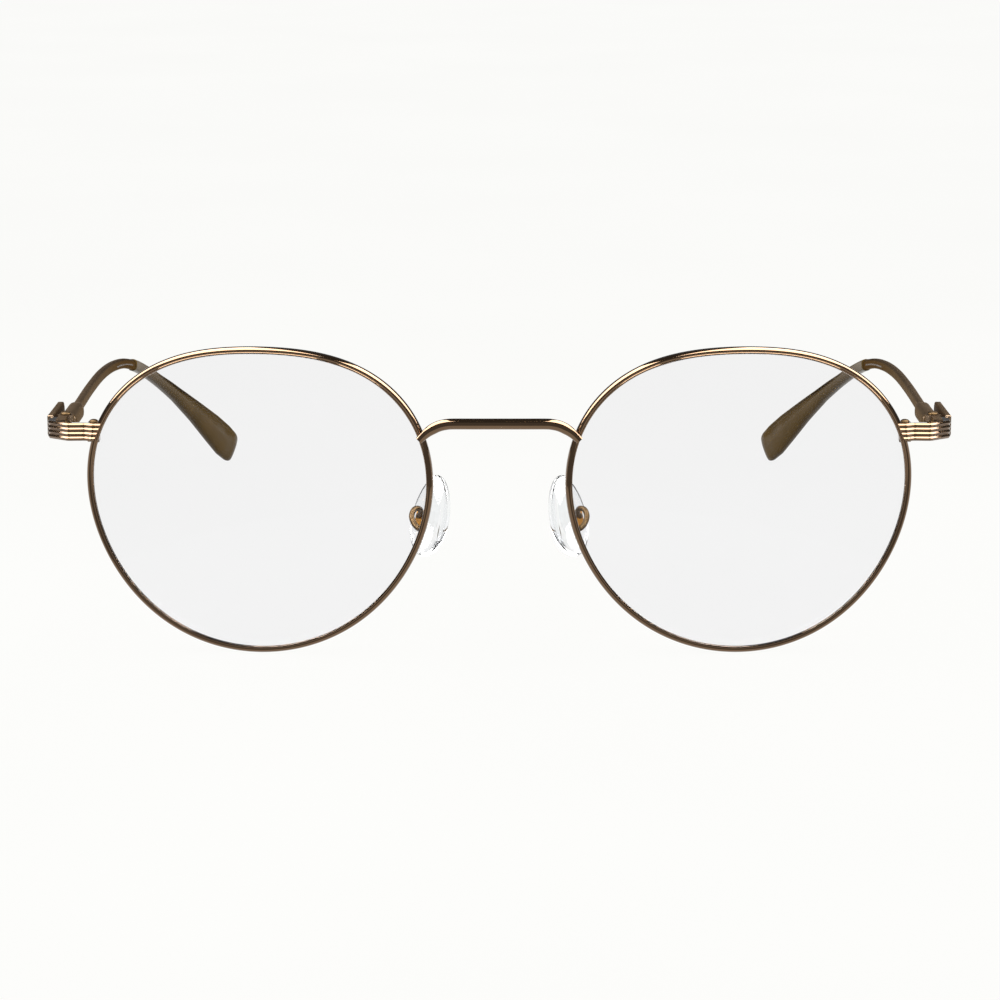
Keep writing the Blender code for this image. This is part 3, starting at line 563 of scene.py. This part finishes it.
# endpieces
endpiece = {
    "thick": 1.2, "height": 2.7, "ribs": 4, "relief": 0.17, "frontY": -7.6, "sideX": 1.65,
    "innerX": -5.5, "corner": 2.8, "cornerSoft": 0.5, "step": 0.75, "buttY": -1.4, "slant": 0.42,
    "slantRun": 1.6, "lapFrom": 3.5, "lapTo": 4.8, "faceShare": 0.72, "sectionSteps": 160,
}


def makeFluteTree():
    tree, given = startTree("fluteSweep", {
        "Thickness": 0.0012, "Height": 0.0027, "Relief": 0.0002, "Ribs": 4, "Section Steps": 160,
    })
    path = addNode(tree, "GeometryNodeMeshToCurve", {"Mesh": given["Geometry"]})
    level = addNode(tree, "GeometryNodeSetCurveNormal", {"Curve": path.outputs[0]}, mode="Z_UP")
    circle = addNode(tree, "GeometryNodeCurvePrimitiveCircle", {
        "Resolution": given["Section Steps"], "Radius": 1.0}, mode="RADIUS")
    share = addNode(tree, "GeometryNodeSplineParameter").outputs["Factor"]
    # most of the section climbs the fluted face, the rest comes down the flat back
    face = endpiece["faceShare"]
    climb = calc(tree, "MINIMUM", calc(tree, "DIVIDE", share, face), 1.0)
    fall = calc(tree, "MAXIMUM", calc(tree, "DIVIDE", calc(tree, "SUBTRACT", share, face), 1 - face), 0.0)
    onFace = calc(tree, "LESS_THAN", share, face)
    turns = calc(tree, "MULTIPLY", climb, given["Ribs"])
    wave = calc(tree, "COSINE", calc(tree, "MULTIPLY", turns, 2 * math.pi))
    dip = calc(tree, "MULTIPLY", calc(tree, "MULTIPLY_ADD", wave, 0.5, 0.5), given["Relief"])
    halfThick = calc(tree, "MULTIPLY", given["Thickness"], 0.5)
    faceOut = calc(tree, "SUBTRACT", halfThick, dip)
    stand = calc(tree, "MULTIPLY", onFace, calc(tree, "ADD", faceOut, halfThick))
    signed = calc(tree, "SUBTRACT", stand, halfThick)
    rise = calc(tree, "SUBTRACT", calc(tree, "SUBTRACT", climb, fall), 0.5)
    up = calc(tree, "MULTIPLY", rise, given["Height"])
    section = addNode(tree, "ShaderNodeCombineXYZ", {"X": signed, "Y": up})
    profile = addNode(tree, "GeometryNodeSetPosition", {
        "Geometry": circle.outputs[0], "Position": section.outputs[0]})
    body = addNode(tree, "GeometryNodeCurveToMesh", {
        "Curve": level.outputs[0], "Profile Curve": profile.outputs[0], "Fill Caps": True})
    endTree(tree, body.outputs[0], given)
    return tree


def makeEndpieces():
    e = endpiece
    straight = e["sideX"] - e["corner"] - e["innerX"]
    points = [(e["innerX"] + straight * i / 10, e["frontY"]) for i in range(10)]
    # the corner is a chamfer with both its bends softened
    trim = e["cornerSoft"] * math.tan(math.radians(22.5))
    bends = (
        (e["sideX"] - e["corner"] - trim, e["frontY"] + e["cornerSoft"], -90),
        (e["sideX"] - e["cornerSoft"], e["frontY"] + e["corner"] + trim, -45),
    )
    for x, y, first in bends:
        for step in range(9):
            a = math.radians(first + 45 * step / 8)
            points.append((x + e["cornerSoft"] * math.cos(a), y + e["cornerSoft"] * math.sin(a)))
    points.append((e["sideX"], e["buttY"]))
    line = bpy.data.meshes.new("route")
    pairs = [(i, i + 1) for i in range(len(points) - 1)]
    line.from_pydata([(x * mm, y * mm, 0) for x, y in points], pairs, [])
    mesh = growTree(makeFluteTree(), {
        "Thickness": e["thick"] * mm, "Height": e["height"] * mm, "Relief": e["relief"] * mm,
        "Ribs": e["ribs"], "Section Steps": e["sectionSteps"], "Material": antiqueGold}, line)
    for vert in mesh.vertices:  # the rim end laps over the eyewire's outer half and is sheared to follow it
        inward = -vert.co.x / mm
        vert.co.y -= e["step"] * mm * ease(inward, e["lapFrom"], e["lapTo"])
        vert.co.x -= e["slant"] * vert.co.z * ease(inward, -e["innerX"] - e["slantRun"], -e["innerX"])
    pairUp("fluted_endpiece", mesh, hingeAt, antiqueGold, "front", ["endpiece"], 40)


makeEndpieces()
print("eyeglasses: endpieces fluted")

# screws
screws = {
    "lock": {"headRadius": 0.68, "headHeight": 0.4, "shank": 0.4, "low": 8.0, "seat": 10.8, "slot": 0.16,
             "place": (61.0, 4.95, 0), "slotTurn": 35},
    "hinge": {"headRadius": 0.85, "headHeight": 0.4, "shank": 0.42, "low": -1.45, "seat": 1.5, "slot": 0.2,
              "place": (0, 0, 0), "slotTurn": 20},
    "pad": {"headRadius": 0.42, "headHeight": 0.16, "shank": 0.26, "low": -0.85, "seat": 0.87, "slot": 0.12,
            "place": (1.85, 0, -0.6), "slotTurn": 60},
    # how far up the head's dome the round reaches, and the slot's length and depth in head sizes
    "dome": 0.86, "slotLong": 3.0, "slotDeep": 1.1,
}


def makeScrewTree():
    tree, given = startTree("slottedScrew", {
        "Head Radius": 0.0007, "Head Height": 0.0004, "Shank Radius": 0.0004,
        "Low": 0.0, "Seat": 0.002, "Slot Width": 0.0002,
    })
    top = calc(tree, "ADD", given["Seat"], given["Head Height"])
    shank = addNode(tree, "GeometryNodeMeshCylinder", {
        "Vertices": 32, "Radius": given["Shank Radius"],
        "Depth": calc(tree, "SUBTRACT", given["Seat"], given["Low"])})
    middle = calc(tree, "MULTIPLY", calc(tree, "ADD", given["Seat"], given["Low"]), 0.5)
    shankPlace = addNode(tree, "ShaderNodeCombineXYZ", {"Z": middle}).outputs[0]
    shankUp = addNode(tree, "GeometryNodeTransform", {
        "Geometry": shank.outputs[0], "Translation": shankPlace})
    # head: a drum whose rings above the rim close in like a dome
    drum = addNode(tree, "GeometryNodeMeshCylinder", {
        "Vertices": 48, "Side Segments": 10, "Radius": 1.0, "Depth": 1.0})
    spot = addNode(tree, "ShaderNodeSeparateXYZ", {0: addNode(tree, "GeometryNodeInputPosition").outputs[0]})
    lift = calc(tree, "ADD", spot.outputs["Z"], 0.5)
    sunk = calc(tree, "POWER", calc(tree, "MULTIPLY", lift, screws["dome"]), 3.0)
    curve = calc(tree, "SQRT", calc(tree, "SUBTRACT", 1.0, sunk))
    wide = calc(tree, "MULTIPLY", curve, given["Head Radius"])
    high = calc(tree, "MULTIPLY_ADD", lift, given["Head Height"], given["Seat"])
    place = addNode(tree, "ShaderNodeCombineXYZ", {
        "X": calc(tree, "MULTIPLY", spot.outputs["X"], wide),
        "Y": calc(tree, "MULTIPLY", spot.outputs["Y"], wide), "Z": high})
    head = addNode(tree, "GeometryNodeSetPosition", {
        "Geometry": drum.outputs[0], "Position": place.outputs[0]})
    slotSize = addNode(tree, "ShaderNodeCombineXYZ", {
        "X": calc(tree, "MULTIPLY", given["Head Radius"], screws["slotLong"]),
        "Y": given["Slot Width"],
        "Z": calc(tree, "MULTIPLY", given["Head Height"], screws["slotDeep"])})
    slot = addNode(tree, "GeometryNodeMeshCube", {"Size": slotSize.outputs[0]})
    slotPlace = addNode(tree, "ShaderNodeCombineXYZ", {"Z": top}).outputs[0]
    slotUp = addNode(tree, "GeometryNodeTransform", {"Geometry": slot.outputs[0], "Translation": slotPlace})
    cut = addNode(tree, "GeometryNodeMeshBoolean", {"Mesh 1": head.outputs[0]}, operation="DIFFERENCE",
                  solver="EXACT")
    tree.links.new(slotUp.outputs[0], cut.inputs["Mesh 2"])
    both = addNode(tree, "GeometryNodeMeshBoolean", operation="UNION", solver="EXACT")
    tree.links.new(cut.outputs[0], both.inputs["Mesh 2"])
    tree.links.new(shankUp.outputs[0], both.inputs["Mesh 2"])
    endTree(tree, both.outputs[0], given)
    return tree


screwTree = makeScrewTree()


def makeScrew(piece, size, at, stands):
    mesh = growTree(screwTree, {
        "Head Radius": size["headRadius"] * mm, "Head Height": size["headHeight"] * mm,
        "Shank Radius": size["shank"] * mm, "Low": size["low"] * mm, "Seat": size["seat"] * mm,
        "Slot Width": size["slot"] * mm, "Material": turnedBronze})
    at = at @ turn(size["slotTurn"], "Z")
    pairUp(piece, mesh, at, turnedBronze, "front", [stands], 30)


makeScrew("lock_screw", screws["lock"], frontAt @ move(*screws["lock"]["place"]), "rim_lock_screw")
makeScrew("hinge_pin_screw", screws["hinge"], hingeAt @ move(*screws["hinge"]["place"]), "hinge_screw")
makeScrew("pad_pin_screw", screws["pad"], padAt @ move(*screws["pad"]["place"]) @ turn(-90, "X"), "pad_screw")
print("eyeglasses: screws slotted")

# spring boxes and plaques
housing = {
    "frontY": 1.5, "bodyEndY": 13.6, "endY": 17.4, "thick": 2.5, "height": 2.8, "centreX": -0.1,
    "bore": 0.95, "boreEndY": 13.0, "lip": 0.16, "ringSteps": 64,
    "bossX": 0.6, "bossY": (2.4, 9.0), "bossHalf": 0.7, "neckGrow": 0.1,
}
plaque = {"x": (1.75, 2.7), "startY": -1.3, "endY": 15.0, "height": 3.1, "edge": 0.2}
wire = {
    "thick": 1.4, "height": 1.8, "square": 3.0, "coreThick": 0.9, "coreHeight": 1.2, "coreSquare": 2.4,
    "tipShare": 0.655, "coreShare": 0.9,
}


def makeHousings():
    h = housing
    # each station: place along, thickness, height, squareness, middle
    stations = [
        (h["frontY"], h["thick"] - 2 * h["lip"], h["height"] - 2 * h["lip"], 2.3, h["centreX"]),
        (h["frontY"] + h["lip"] * 0.3, h["thick"] - 0.9 * h["lip"], h["height"] - 0.9 * h["lip"], 2.4,
         h["centreX"]),
        (h["frontY"] + h["lip"], h["thick"], h["height"], 2.5, h["centreX"]),
    ]
    for i in range(1, 8):
        along = h["frontY"] + (h["bodyEndY"] - h["frontY"]) * i / 7
        stations.append((along, h["thick"], h["height"], 2.6, h["centreX"]))
    for i in range(1, 11):
        t = i / 10
        bend = ease(t, 0.0, 1.0)
        stations.append((
            h["bodyEndY"] + (h["endY"] - h["bodyEndY"]) * t,
            h["thick"] + (wire["thick"] + h["neckGrow"] - h["thick"]) * bend,
            h["height"] + (wire["height"] + h["neckGrow"] - h["height"]) * bend,
            2.6 + 0.4 * t, h["centreX"] * (1 - t)))
    rings = []
    for along, thick, high, square, middle in stations:
        section = superOval(thick, high, h["ringSteps"], square)
        rings.append([(middle + x, along, z) for x, z in section])
    body = skin(rings)
    bore = barrel(h["bore"], h["frontY"] - 1, h["boreEndY"])
    bore.transform(move(h["centreX"], 0, 0))
    body = cutAway(body, bore)
    # a boss joins the housing to its plaque
    boss = softBox((h["bossX"], h["bossY"][0], -h["bossHalf"]),
                   (plaque["x"][0] - 0.02, h["bossY"][1], h["bossHalf"]), 0.1)
    body = cutAway(body, boss, "UNION")
    pairUp("spring_housing", body, hingeAt, satinBronze, "left_temple", ["spring_box"], 35)


def makePlaques():
    p = plaque
    half = p["height"] / 2
    centre = p["endY"] - half
    outline = [(p["startY"], -half), (centre, -half)]
    for step in range(1, 24):
        angle = math.radians(-90 + 180 * step / 24)
        outline.append((centre + half * math.cos(angle), half * math.sin(angle)))
    outline += [(centre, half), (p["startY"], half)]
    shape = bmesh.new()
    low = [shape.verts.new((p["x"][0] * mm, y * mm, z * mm)) for y, z in outline]
    face = shape.faces.new(low)
    grown = bmesh.ops.extrude_face_region(shape, geom=[face])
    for item in grown["geom"]:
        if isinstance(item, bmesh.types.BMVert):
            item.co.x = p["x"][1] * mm
    bmesh.ops.recalc_face_normals(shape, faces=shape.faces)
    bmesh.ops.bevel(
        shape, geom=shape.edges[:], offset=p["edge"] * mm, segments=4, profile=0.5, affect="EDGES")
    pairUp("plaque_bar", meshFrom(shape, "plaque"), hingeAt, satinBronze, "left_temple",
           ["side_plaque"], 40)


makeHousings()
makePlaques()
print("eyeglasses: spring boxes and plaques made")

# temples
temple = {
    "route": ((0, 0, 0), (0.1, 20, 0), (0.25, 40, 0), (0, 58, 0), (-0.8, 72, -0.35), (-2.2, 82, -1.2),
              (-4.2, 91, -3.4), (-7.4, 100, -7.6), (-11.2, 108, -12.8), (-15.2, 115, -18.2),
              (-19.2, 121.5, -23.6)),
    "steps": 480,
}
tip = {
    # share of the route, thickness, height, rise above the route
    "sections": ((0.655, 1.75, 2.15, 0.0), (0.70, 1.8, 2.15, 0.0), (0.76, 2.0, 2.3, 0.1),
                 (0.82, 2.3, 2.9, 0.3), (0.88, 2.5, 4.2, 0.35), (0.93, 2.6, 5.6, 0.25),
                 (0.965, 2.4, 6.3, 0.1), (0.985, 2.0, 6.0, 0.1), (1.0, 0.9, 4.4, 0.0)),
    # the hollow near the upper edge: depth, place and half width as shares of the height, and where along
    # the route it sinks in, runs out and widens
    "scoopDepth": 0.85, "scoopCentre": 0.2, "scoopHalf": 0.26, "scoopIn": (0.70, 0.83),
    "scoopOut": (0.955, 0.99), "scoopWiden": (0.72, 0.93), "scoopNarrow": 0.55, "scoopCurve": 1.6,
    "square": 2.5, "ringSteps": 128, "bodyEnd": 0.982, "endSteps": 13, "endShrink": 0.42, "coreRoom": 0.12,
}
templeRoute = softRoute(temple["route"], temple["steps"])


def templeFrame(share):
    position = share * temple["steps"]
    k = min(int(position), temple["steps"] - 1)
    spot = templeRoute[k].lerp(templeRoute[k + 1], position - k)
    reach = 5
    before = templeRoute[max(k - reach, 0)]
    after = templeRoute[min(k + 1 + reach, temple["steps"])]
    ahead = (after - before).normalized()
    outward = ahead.cross(Vector((0, 0, 1))).normalized()
    return spot, outward, outward.cross(ahead)


def templeRing(share, section):
    spot, outward, up = templeFrame(share)
    return [spot + outward * x + up * z for x, z in section]


def makeWires():
    length = sum((b - a).length for a, b in zip(templeRoute, templeRoute[1:]))
    start = (housing["endY"] + 0.05) / length
    shoulder = wire["tipShare"] - 0.1 / length
    rings = []
    outer = superOval(wire["thick"], wire["height"], 40, wire["square"])
    for i in range(121):
        rings.append(templeRing(start + (shoulder - start) * i / 120, outer))
    core = superOval(wire["coreThick"], wire["coreHeight"], 40, wire["coreSquare"])
    for i in range(30):
        share = shoulder + 0.0002 + (wire["coreShare"] - shoulder) * i / 29
        rings.append(templeRing(share, core))
    pairUp("temple_bar", skin(rings), hingeAt, satinBronze, "left_temple",
           ["temple_wire"], 40)


def tipSize(share):
    rows = tip["sections"]
    for first, second in zip(rows, rows[1:]):
        if share <= second[0]:
            t = (share - first[0]) / (second[0] - first[0])
            return [a + (b - a) * t for a, b in zip(first, second)][1:]
    return rows[-1][1:]


def tipSection(share):
    thick, height, rise = tipSize(share)
    scoop = tip["scoopDepth"] * ease(share, *tip["scoopIn"]) * (1 - ease(share, *tip["scoopOut"]))
    narrow = tip["scoopNarrow"]
    width = tip["scoopHalf"] * (narrow + (1 - narrow) * ease(share, *tip["scoopWiden"]))
    points = []
    for x, z in superOval(thick, height, tip["ringSteps"], tip["square"]):
        if x < 0:
            off = (z / height - tip["scoopCentre"]) / width
            # deepest just under the upper edge, then running out downwards
            if abs(off) < 1:
                x += scoop * ((off + 1) / 2) ** tip["scoopCurve"] * (1 - ease(off, 0.5, 1.0))
        points.append((x, z + rise))
    return points


def makeTips():
    start, end, steps = wire["tipShare"], tip["bodyEnd"], tip["endSteps"]
    rings = [templeRing(start, [(x * 0.9, z * 0.92) for x, z in tipSection(start)])]
    for i in range(141):
        share = start + (end - start) * i / 140
        rings.append(templeRing(share + 0.0012, tipSection(share)))
    # round off the end
    for i in range(1, steps):
        angle = math.radians(90 * i / steps)
        shrinkX = math.cos(angle)
        shrinkZ = 1 - tip["endShrink"] * (1 - math.cos(angle))
        section = [(x * shrinkX, z * shrinkZ) for x, z in tipSection(end)]
        rings.append(templeRing(0.9832 + 0.0168 * math.sin(angle), section))
    hollow = superOval(wire["coreThick"] + tip["coreRoom"], wire["coreHeight"] + tip["coreRoom"], 32,
                       wire["coreSquare"])
    room = []
    for i in range(40):
        share = 0.645 + (wire["coreShare"] + 0.004 - 0.645) * i / 39
        room.append(templeRing(share, hollow))
    pairUp("acetate_tip", cutAway(skin(rings), skin(room)), hingeAt, acetate, "left_temple",
           ["temple_tip"], 50)


makeWires()
makeTips()
print("eyeglasses: temples and tips made")

# a row of short raised lines on the inner side of each temple, just ahead of the tip
hatch = {"from": 0.548, "to": 0.64, "lines": 34, "width": 0.1, "length": 0.34, "proud": 0.06, "slope": 35.0}


def makeHatchTree():
    tree, given = startTree("hatchRow", {
        "Lines": 34, "Width": 0.0001, "Length": 0.0004, "Depth": 0.0001, "Slope": 0.6,
    })
    path = addNode(tree, "GeometryNodeMeshToCurve", {"Mesh": given["Geometry"]})
    spots = addNode(tree, "GeometryNodeCurveToPoints", {"Curve": path.outputs[0], "Count": given["Lines"]})
    size = addNode(tree, "ShaderNodeCombineXYZ", {
        "X": given["Depth"], "Y": given["Width"], "Z": given["Length"]})
    bar = addNode(tree, "GeometryNodeMeshCube", {"Size": size.outputs[0]})
    lean = addNode(tree, "FunctionNodeAlignRotationToVector", {
        "Vector": spots.outputs["Tangent"]}, axis="Y", pivot_axis="Z")
    tilt = addNode(tree, "FunctionNodeRotateRotation", {
        "Rotation": lean.outputs[0],
        "Rotate By": addNode(tree, "ShaderNodeCombineXYZ", {"X": given["Slope"]}).outputs[0]},
        rotation_space="LOCAL")
    rows = addNode(tree, "GeometryNodeInstanceOnPoints", {
        "Points": spots.outputs[0], "Instance": bar.outputs[0], "Rotation": tilt.outputs[0]})
    endTree(tree, rows.outputs[0], given)
    return tree


def makeHatch():
    spots = []
    for i in range(24):
        spot, outward, up = templeFrame(hatch["from"] + (hatch["to"] - hatch["from"]) * i / 23)
        spots.append((spot - outward * (wire["thick"] / 2 - 0.01) - up * 0.15) * mm)
    line = bpy.data.meshes.new("route")
    line.from_pydata([tuple(p) for p in spots], [(i, i + 1) for i in range(23)], [])
    mesh = growTree(makeHatchTree(), {
        "Lines": hatch["lines"], "Width": hatch["width"] * mm, "Length": hatch["length"] * mm,
        "Depth": hatch["proud"] * mm, "Slope": math.radians(hatch["slope"]), "Material": antiqueGold}, line)
    pairUp("hatch_lines", mesh, hingeAt, antiqueGold, "left_temple", [], 30)


makeHatch()
print("eyeglasses: hatch laid")

# coil springs
coil = {"turns": 6, "radius": 0.66, "wire": 0.13, "low": 3.08, "high": 8.52, "steps": 360}


def makeCoilTree():
    tree, given = startTree("coilSpring", {
        "Turns": 6.0, "Radius": 0.0007, "Wire Radius": 0.0001, "Length": 0.005, "Steps": 360,
    })
    spiral = addNode(tree, "GeometryNodeCurveSpiral", {
        "Resolution": given["Steps"], "Rotations": given["Turns"],
        "Start Radius": given["Radius"], "End Radius": given["Radius"],
        "Height": given["Length"]})
    loop = addNode(tree, "GeometryNodeCurvePrimitiveCircle", {
        "Resolution": 10, "Radius": given["Wire Radius"]}, mode="RADIUS")
    body = addNode(tree, "GeometryNodeCurveToMesh", {
        "Curve": spiral.outputs[0], "Profile Curve": loop.outputs[0], "Fill Caps": True})
    endTree(tree, body.outputs[0], given)
    return tree


def makeCoils():
    mesh = growTree(makeCoilTree(), {
        "Turns": float(coil["turns"]), "Radius": coil["radius"] * mm, "Wire Radius": coil["wire"] * mm,
        "Length": (coil["high"] - coil["low"]) * mm, "Steps": coil["steps"] // coil["turns"],
        "Material": springSteel})
    at = hingeAt @ move(housing["centreX"], coil["low"], 0) @ turn(-90, "X")
    pair = pairUp("box_spring", mesh, at, springSteel, None, ["coil_spring"], 60)
    # bake each spring's placing into its mesh
    for thing, side in zip(pair, ("left", "right")):
        at = Matrix.Scale(-1 if side == "right" else 1, 4, (1, 0, 0)) @ hingeAt
        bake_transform(thing)


makeCoils()
print("eyeglasses: springs wound")

# nose pads
pad = {
    "width": 7.0, "height": 12.6, "dome": 1.7, "back": 0.9, "fullness": 0.8, "taper": 0.12,
    "rings": 48, "segments": 72,
}
cup = {
    "x": (1.25, 2.6), "width": 1.7, "height": 2.8, "wall": 0.35, "floor": 0.16, "z": -0.6, "edge": 0.16,
    "hole": 0.29,
}
arm = {
    "radius": 0.42, "angle": 190.0, "steps": 120, "ringSteps": 28, "flare": 0.35, "flareShare": 0.1,
    "bends": ((12.35, 2.0, -4.75), (13.0, 2.8, -4.2), (13.3, 3.7, -3.35), (12.95, 4.7, -2.65),
              (12.25, 5.6, -2.75), (12.0, 6.6, -3.6)),
}


def makePads():
    shape = bmesh.new()
    bmesh.ops.create_uvsphere(shape, u_segments=pad["segments"], v_segments=pad["rings"], radius=1.0)
    for vert in shape.verts:
        high = vert.co.z
        deep = pad["dome"] if vert.co.x < 0 else pad["back"]
        full = math.copysign(abs(vert.co.x) ** pad["fullness"], vert.co.x)
        wide = pad["width"] / 2 * (1 - pad["taper"] * high)
        vert.co = Vector((full * deep, vert.co.y * wide, high * pad["height"] / 2)) * mm
    made = pairUp("silicone_pad", meshFrom(shape, "pad"), padAt, silicone, "left_pad",
                  ["nose_pad"], 60)
    for thing in made:
        thing.visible_shadow = False
    for side in ("left", "right"):
        nodes[side + "_pad_insert"].visible_shadow = False


def makeCups():
    halfW, halfH = cup["width"] / 2, cup["height"] / 2
    body = softBox((cup["x"][0], -halfW, cup["z"] - halfH), (cup["x"][1], halfW, cup["z"] + halfH),
                   cup["edge"], 4)
    wide, tall = halfW - cup["wall"], halfH - cup["wall"]
    inside = softBox((0, -wide, cup["z"] - tall),
                     (cup["x"][1] - cup["floor"], wide, cup["z"] + tall), 0.05, 2)
    body = cutAway(body, inside)
    hole = barrel(cup["hole"], -2, 2, 24)
    hole.transform(move(*screws["pad"]["place"]))
    pairUp("pad_cup", cutAway(body, hole), padAt, brightGold, "front", ["pad_box"], 40)


def makeArms():
    foot = eyewirePoint(math.radians(arm["angle"]))
    inFront = frontAt.inverted() @ rimAt
    start = inFront @ (Vector((foot.x, eyewire["depth"] / 2 - 0.15, foot.y)) * mm) / mm
    end = frontAt.inverted() @ padAt @ (Vector((cup["x"][1] + 0.3, 0, cup["z"] + 0.3)) * mm) / mm
    first = start + Vector((0.1, 0.5, 0))
    route = softRoute([tuple(start), tuple(first), *arm["bends"], tuple(end)], arm["steps"])
    rings = []
    across = Vector((0, 0, 1))
    for i, spot in enumerate(route):
        ahead = (route[min(i + 1, arm["steps"])] - route[max(i - 1, 0)]).normalized()
        across = (across - ahead * across.dot(ahead)).normalized()
        other = ahead.cross(across)
        # solder flares the foot where it meets the eyewire
        flare = arm["flare"] * (1 - ease(i / arm["steps"], 0.0, arm["flareShare"]))
        radius = arm["radius"] * (1.0 + flare)
        ring = []
        for k in range(arm["ringSteps"]):
            a = 2 * math.pi * k / arm["ringSteps"]
            ring.append(spot + across * radius * math.cos(a) + other * radius * math.sin(a))
        rings.append(ring)
    pairUp("curled_pad_arm", skin(rings), frontAt, turnedBronze, "front", ["pad_arm"], 50)


makePads()
makeCups()
makeArms()
print("eyeglasses: nose pads hung")

# carried-over nodes take the same finishes
finishes = {
    "rim_lock_upper": antiqueGold, "rim_lock_lower": antiqueGold, "hinge_front_leaf": satinBronze,
    "hinge_slider": satinBronze, "spring_collar": satinBronze, "slider_nut": brightGold, "hinge_bush": nylon,
    "pad_insert": hardInsert,
}
for side in ("left", "right"):
    for name, material in finishes.items():
        thing = nodes[side + "_" + name]
        for slot in thing.material_slots:
            slot.material = material

# floor, light and camera
studio = {
    "floor": "0c0c0c", "floorGlow": 0.98, "floorSize": 8.0, "floorDrop": 0.00002,
    "room": 0.12, "backdrop": 0.97, "wallTop": 0.3,
    # softboxes stand low over each rim's outer half and leave a dark gap over the bridge
    "boxInner": 0.032, "boxOuter": 0.5, "boxFront": -0.27, "boxBack": 0.035, "boxHeight": 0.2,
    "boxSplay": 9.0, "boxRadiance": 12.0,
    # a grey card stands round the camera side and only tones the reflections
    "cardRadius": 0.078, "cardHalf": 80.0, "cardTop": 0.07, "cardFoot": 0.0002, "cardCentre": -0.065,
    "cardSteps": 24, "cardGlow": 0.3,
    "cameraDistance": 430.0, "cameraDrop": 14.0, "lens": 103.39, "shift": 0.0007,
}


def glowSheet(name, points, faces, material, glow):
    # a sheet that gives off its own even light and is no part of the object
    made, tree, shader = startMaterial(material["name"], material["base"], Roughness=material["rough"])
    shader.inputs["Specular IOR Level"].default_value = 0.0
    place = addNode(tree, "ShaderNodeTexCoord").outputs["Object"]
    cloud = addNode(tree, "ShaderNodeTexNoise", {
        "Vector": place, "Scale": material["grain"], "Detail": 2.0})
    tree.links.new(blendColours(tree, cloud.outputs[0], *material["tones"]), shader.inputs["Emission Color"])
    shader.inputs["Emission Strength"].default_value = glow
    mesh = bpy.data.meshes.new(name)
    mesh.from_pydata(points, [], faces)
    mesh.materials.append(made)
    thing = addThing(name, mesh)
    return thing


def makeFloor():
    half = studio["floorSize"] / 2
    corners = [(-half, -half, 0), (half, -half, 0), (half, half, 0), (-half, half, 0)]
    # opal acrylic light table: glows evenly from below, so nothing casts a shade on it
    opal = {"name": "opalLightTable", "base": studio["floor"], "rough": 0.9, "grain": 9.0,
            "tones": ("fefefc", "fbfbf9")}
    thing = glowSheet("floor", corners, [(0, 1, 2, 3)], opal, studio["floorGlow"])
    thing.location.z = -studio["floorDrop"]


def makeCard():
    steps, radius = studio["cardSteps"], studio["cardRadius"]
    corners = []
    for i in range(steps + 1):
        angle = math.radians(studio["cardHalf"] * (2 * i / steps - 1))
        x, y = radius * math.sin(angle), studio["cardCentre"] - radius * math.cos(angle)
        corners += [(x, y, studio["cardFoot"]), (x, y, studio["cardTop"])]
    faces = [(2 * i, 2 * i + 2, 2 * i + 3, 2 * i + 1) for i in range(steps)]
    # matt grey card, evenly lit
    paper = {"name": "greyCard", "base": "000000", "rough": 1.0, "grain": 20.0, "tones": ("ffffff", "f0f0f0")}
    thing = glowSheet("card", corners, faces, paper, studio["cardGlow"])
    thing.visible_camera = False
    thing.visible_diffuse = False
    thing.visible_shadow = False
    thing.visible_transmission = False


def makeStudio():
    world = bpy.data.worlds.new("studio")
    bpy.context.scene.world = world
    world.use_nodes = True
    tree = world.node_tree
    back = tree.nodes["Background"]
    # the room is dark, the backdrop that shows past the table is pale
    ray = addNode(tree, "ShaderNodeLightPath")
    up = addNode(tree, "ShaderNodeSeparateXYZ", {0: addNode(tree, "ShaderNodeTexCoord").outputs["Generated"]})
    low = calc(tree, "LESS_THAN", up.outputs["Z"], studio["wallTop"])
    past = calc(tree, "MULTIPLY", low, ray.outputs["Is Transmission Ray"])
    seen = calc(tree, "MAXIMUM", ray.outputs["Is Camera Ray"], past)
    tree.links.new(spread(tree, seen, studio["room"], studio["backdrop"]), back.inputs["Strength"])
    back.inputs["Color"].default_value = (1, 1, 1, 1)
    wide = studio["boxOuter"] - studio["boxInner"]
    deep = studio["boxBack"] - studio["boxFront"]
    for side in (-1, 1):
        light = bpy.data.lights.new("softbox", "AREA")
        light.shape = "RECTANGLE"
        light.size = wide
        light.size_y = deep
        light.energy = studio["boxRadiance"] * math.pi * wide * deep
        box = addThing("softbox", light)
        box.location = (side * (studio["boxOuter"] + studio["boxInner"]) / 2,
                        (studio["boxBack"] + studio["boxFront"]) / 2, studio["boxHeight"])
        box.rotation_euler.z = math.radians(-side * studio["boxSplay"])


def makeCamera():
    camera = bpy.data.cameras.new("camera")
    camera.lens = studio["lens"]
    camera.sensor_width = 36.0
    camera.shift_x = studio["shift"]
    camera.clip_start = 0.01
    camera.clip_end = 20.0
    thing = addThing("camera", camera)
    drop = math.radians(studio["cameraDrop"])
    ahead = Vector((0, math.cos(drop), -math.sin(drop)))
    thing.location = (Vector(lay["frontPlace"]) - ahead * studio["cameraDistance"]) * mm
    thing.rotation_euler = (math.radians(90) - drop, 0, 0)
    bpy.context.scene.camera = thing
    bpy.context.scene.view_settings.view_transform = "Standard"
    bpy.context.scene.view_settings.look = "None"


makeFloor()
makeCard()
makeStudio()
makeCamera()
print("eyeglasses: studio set")
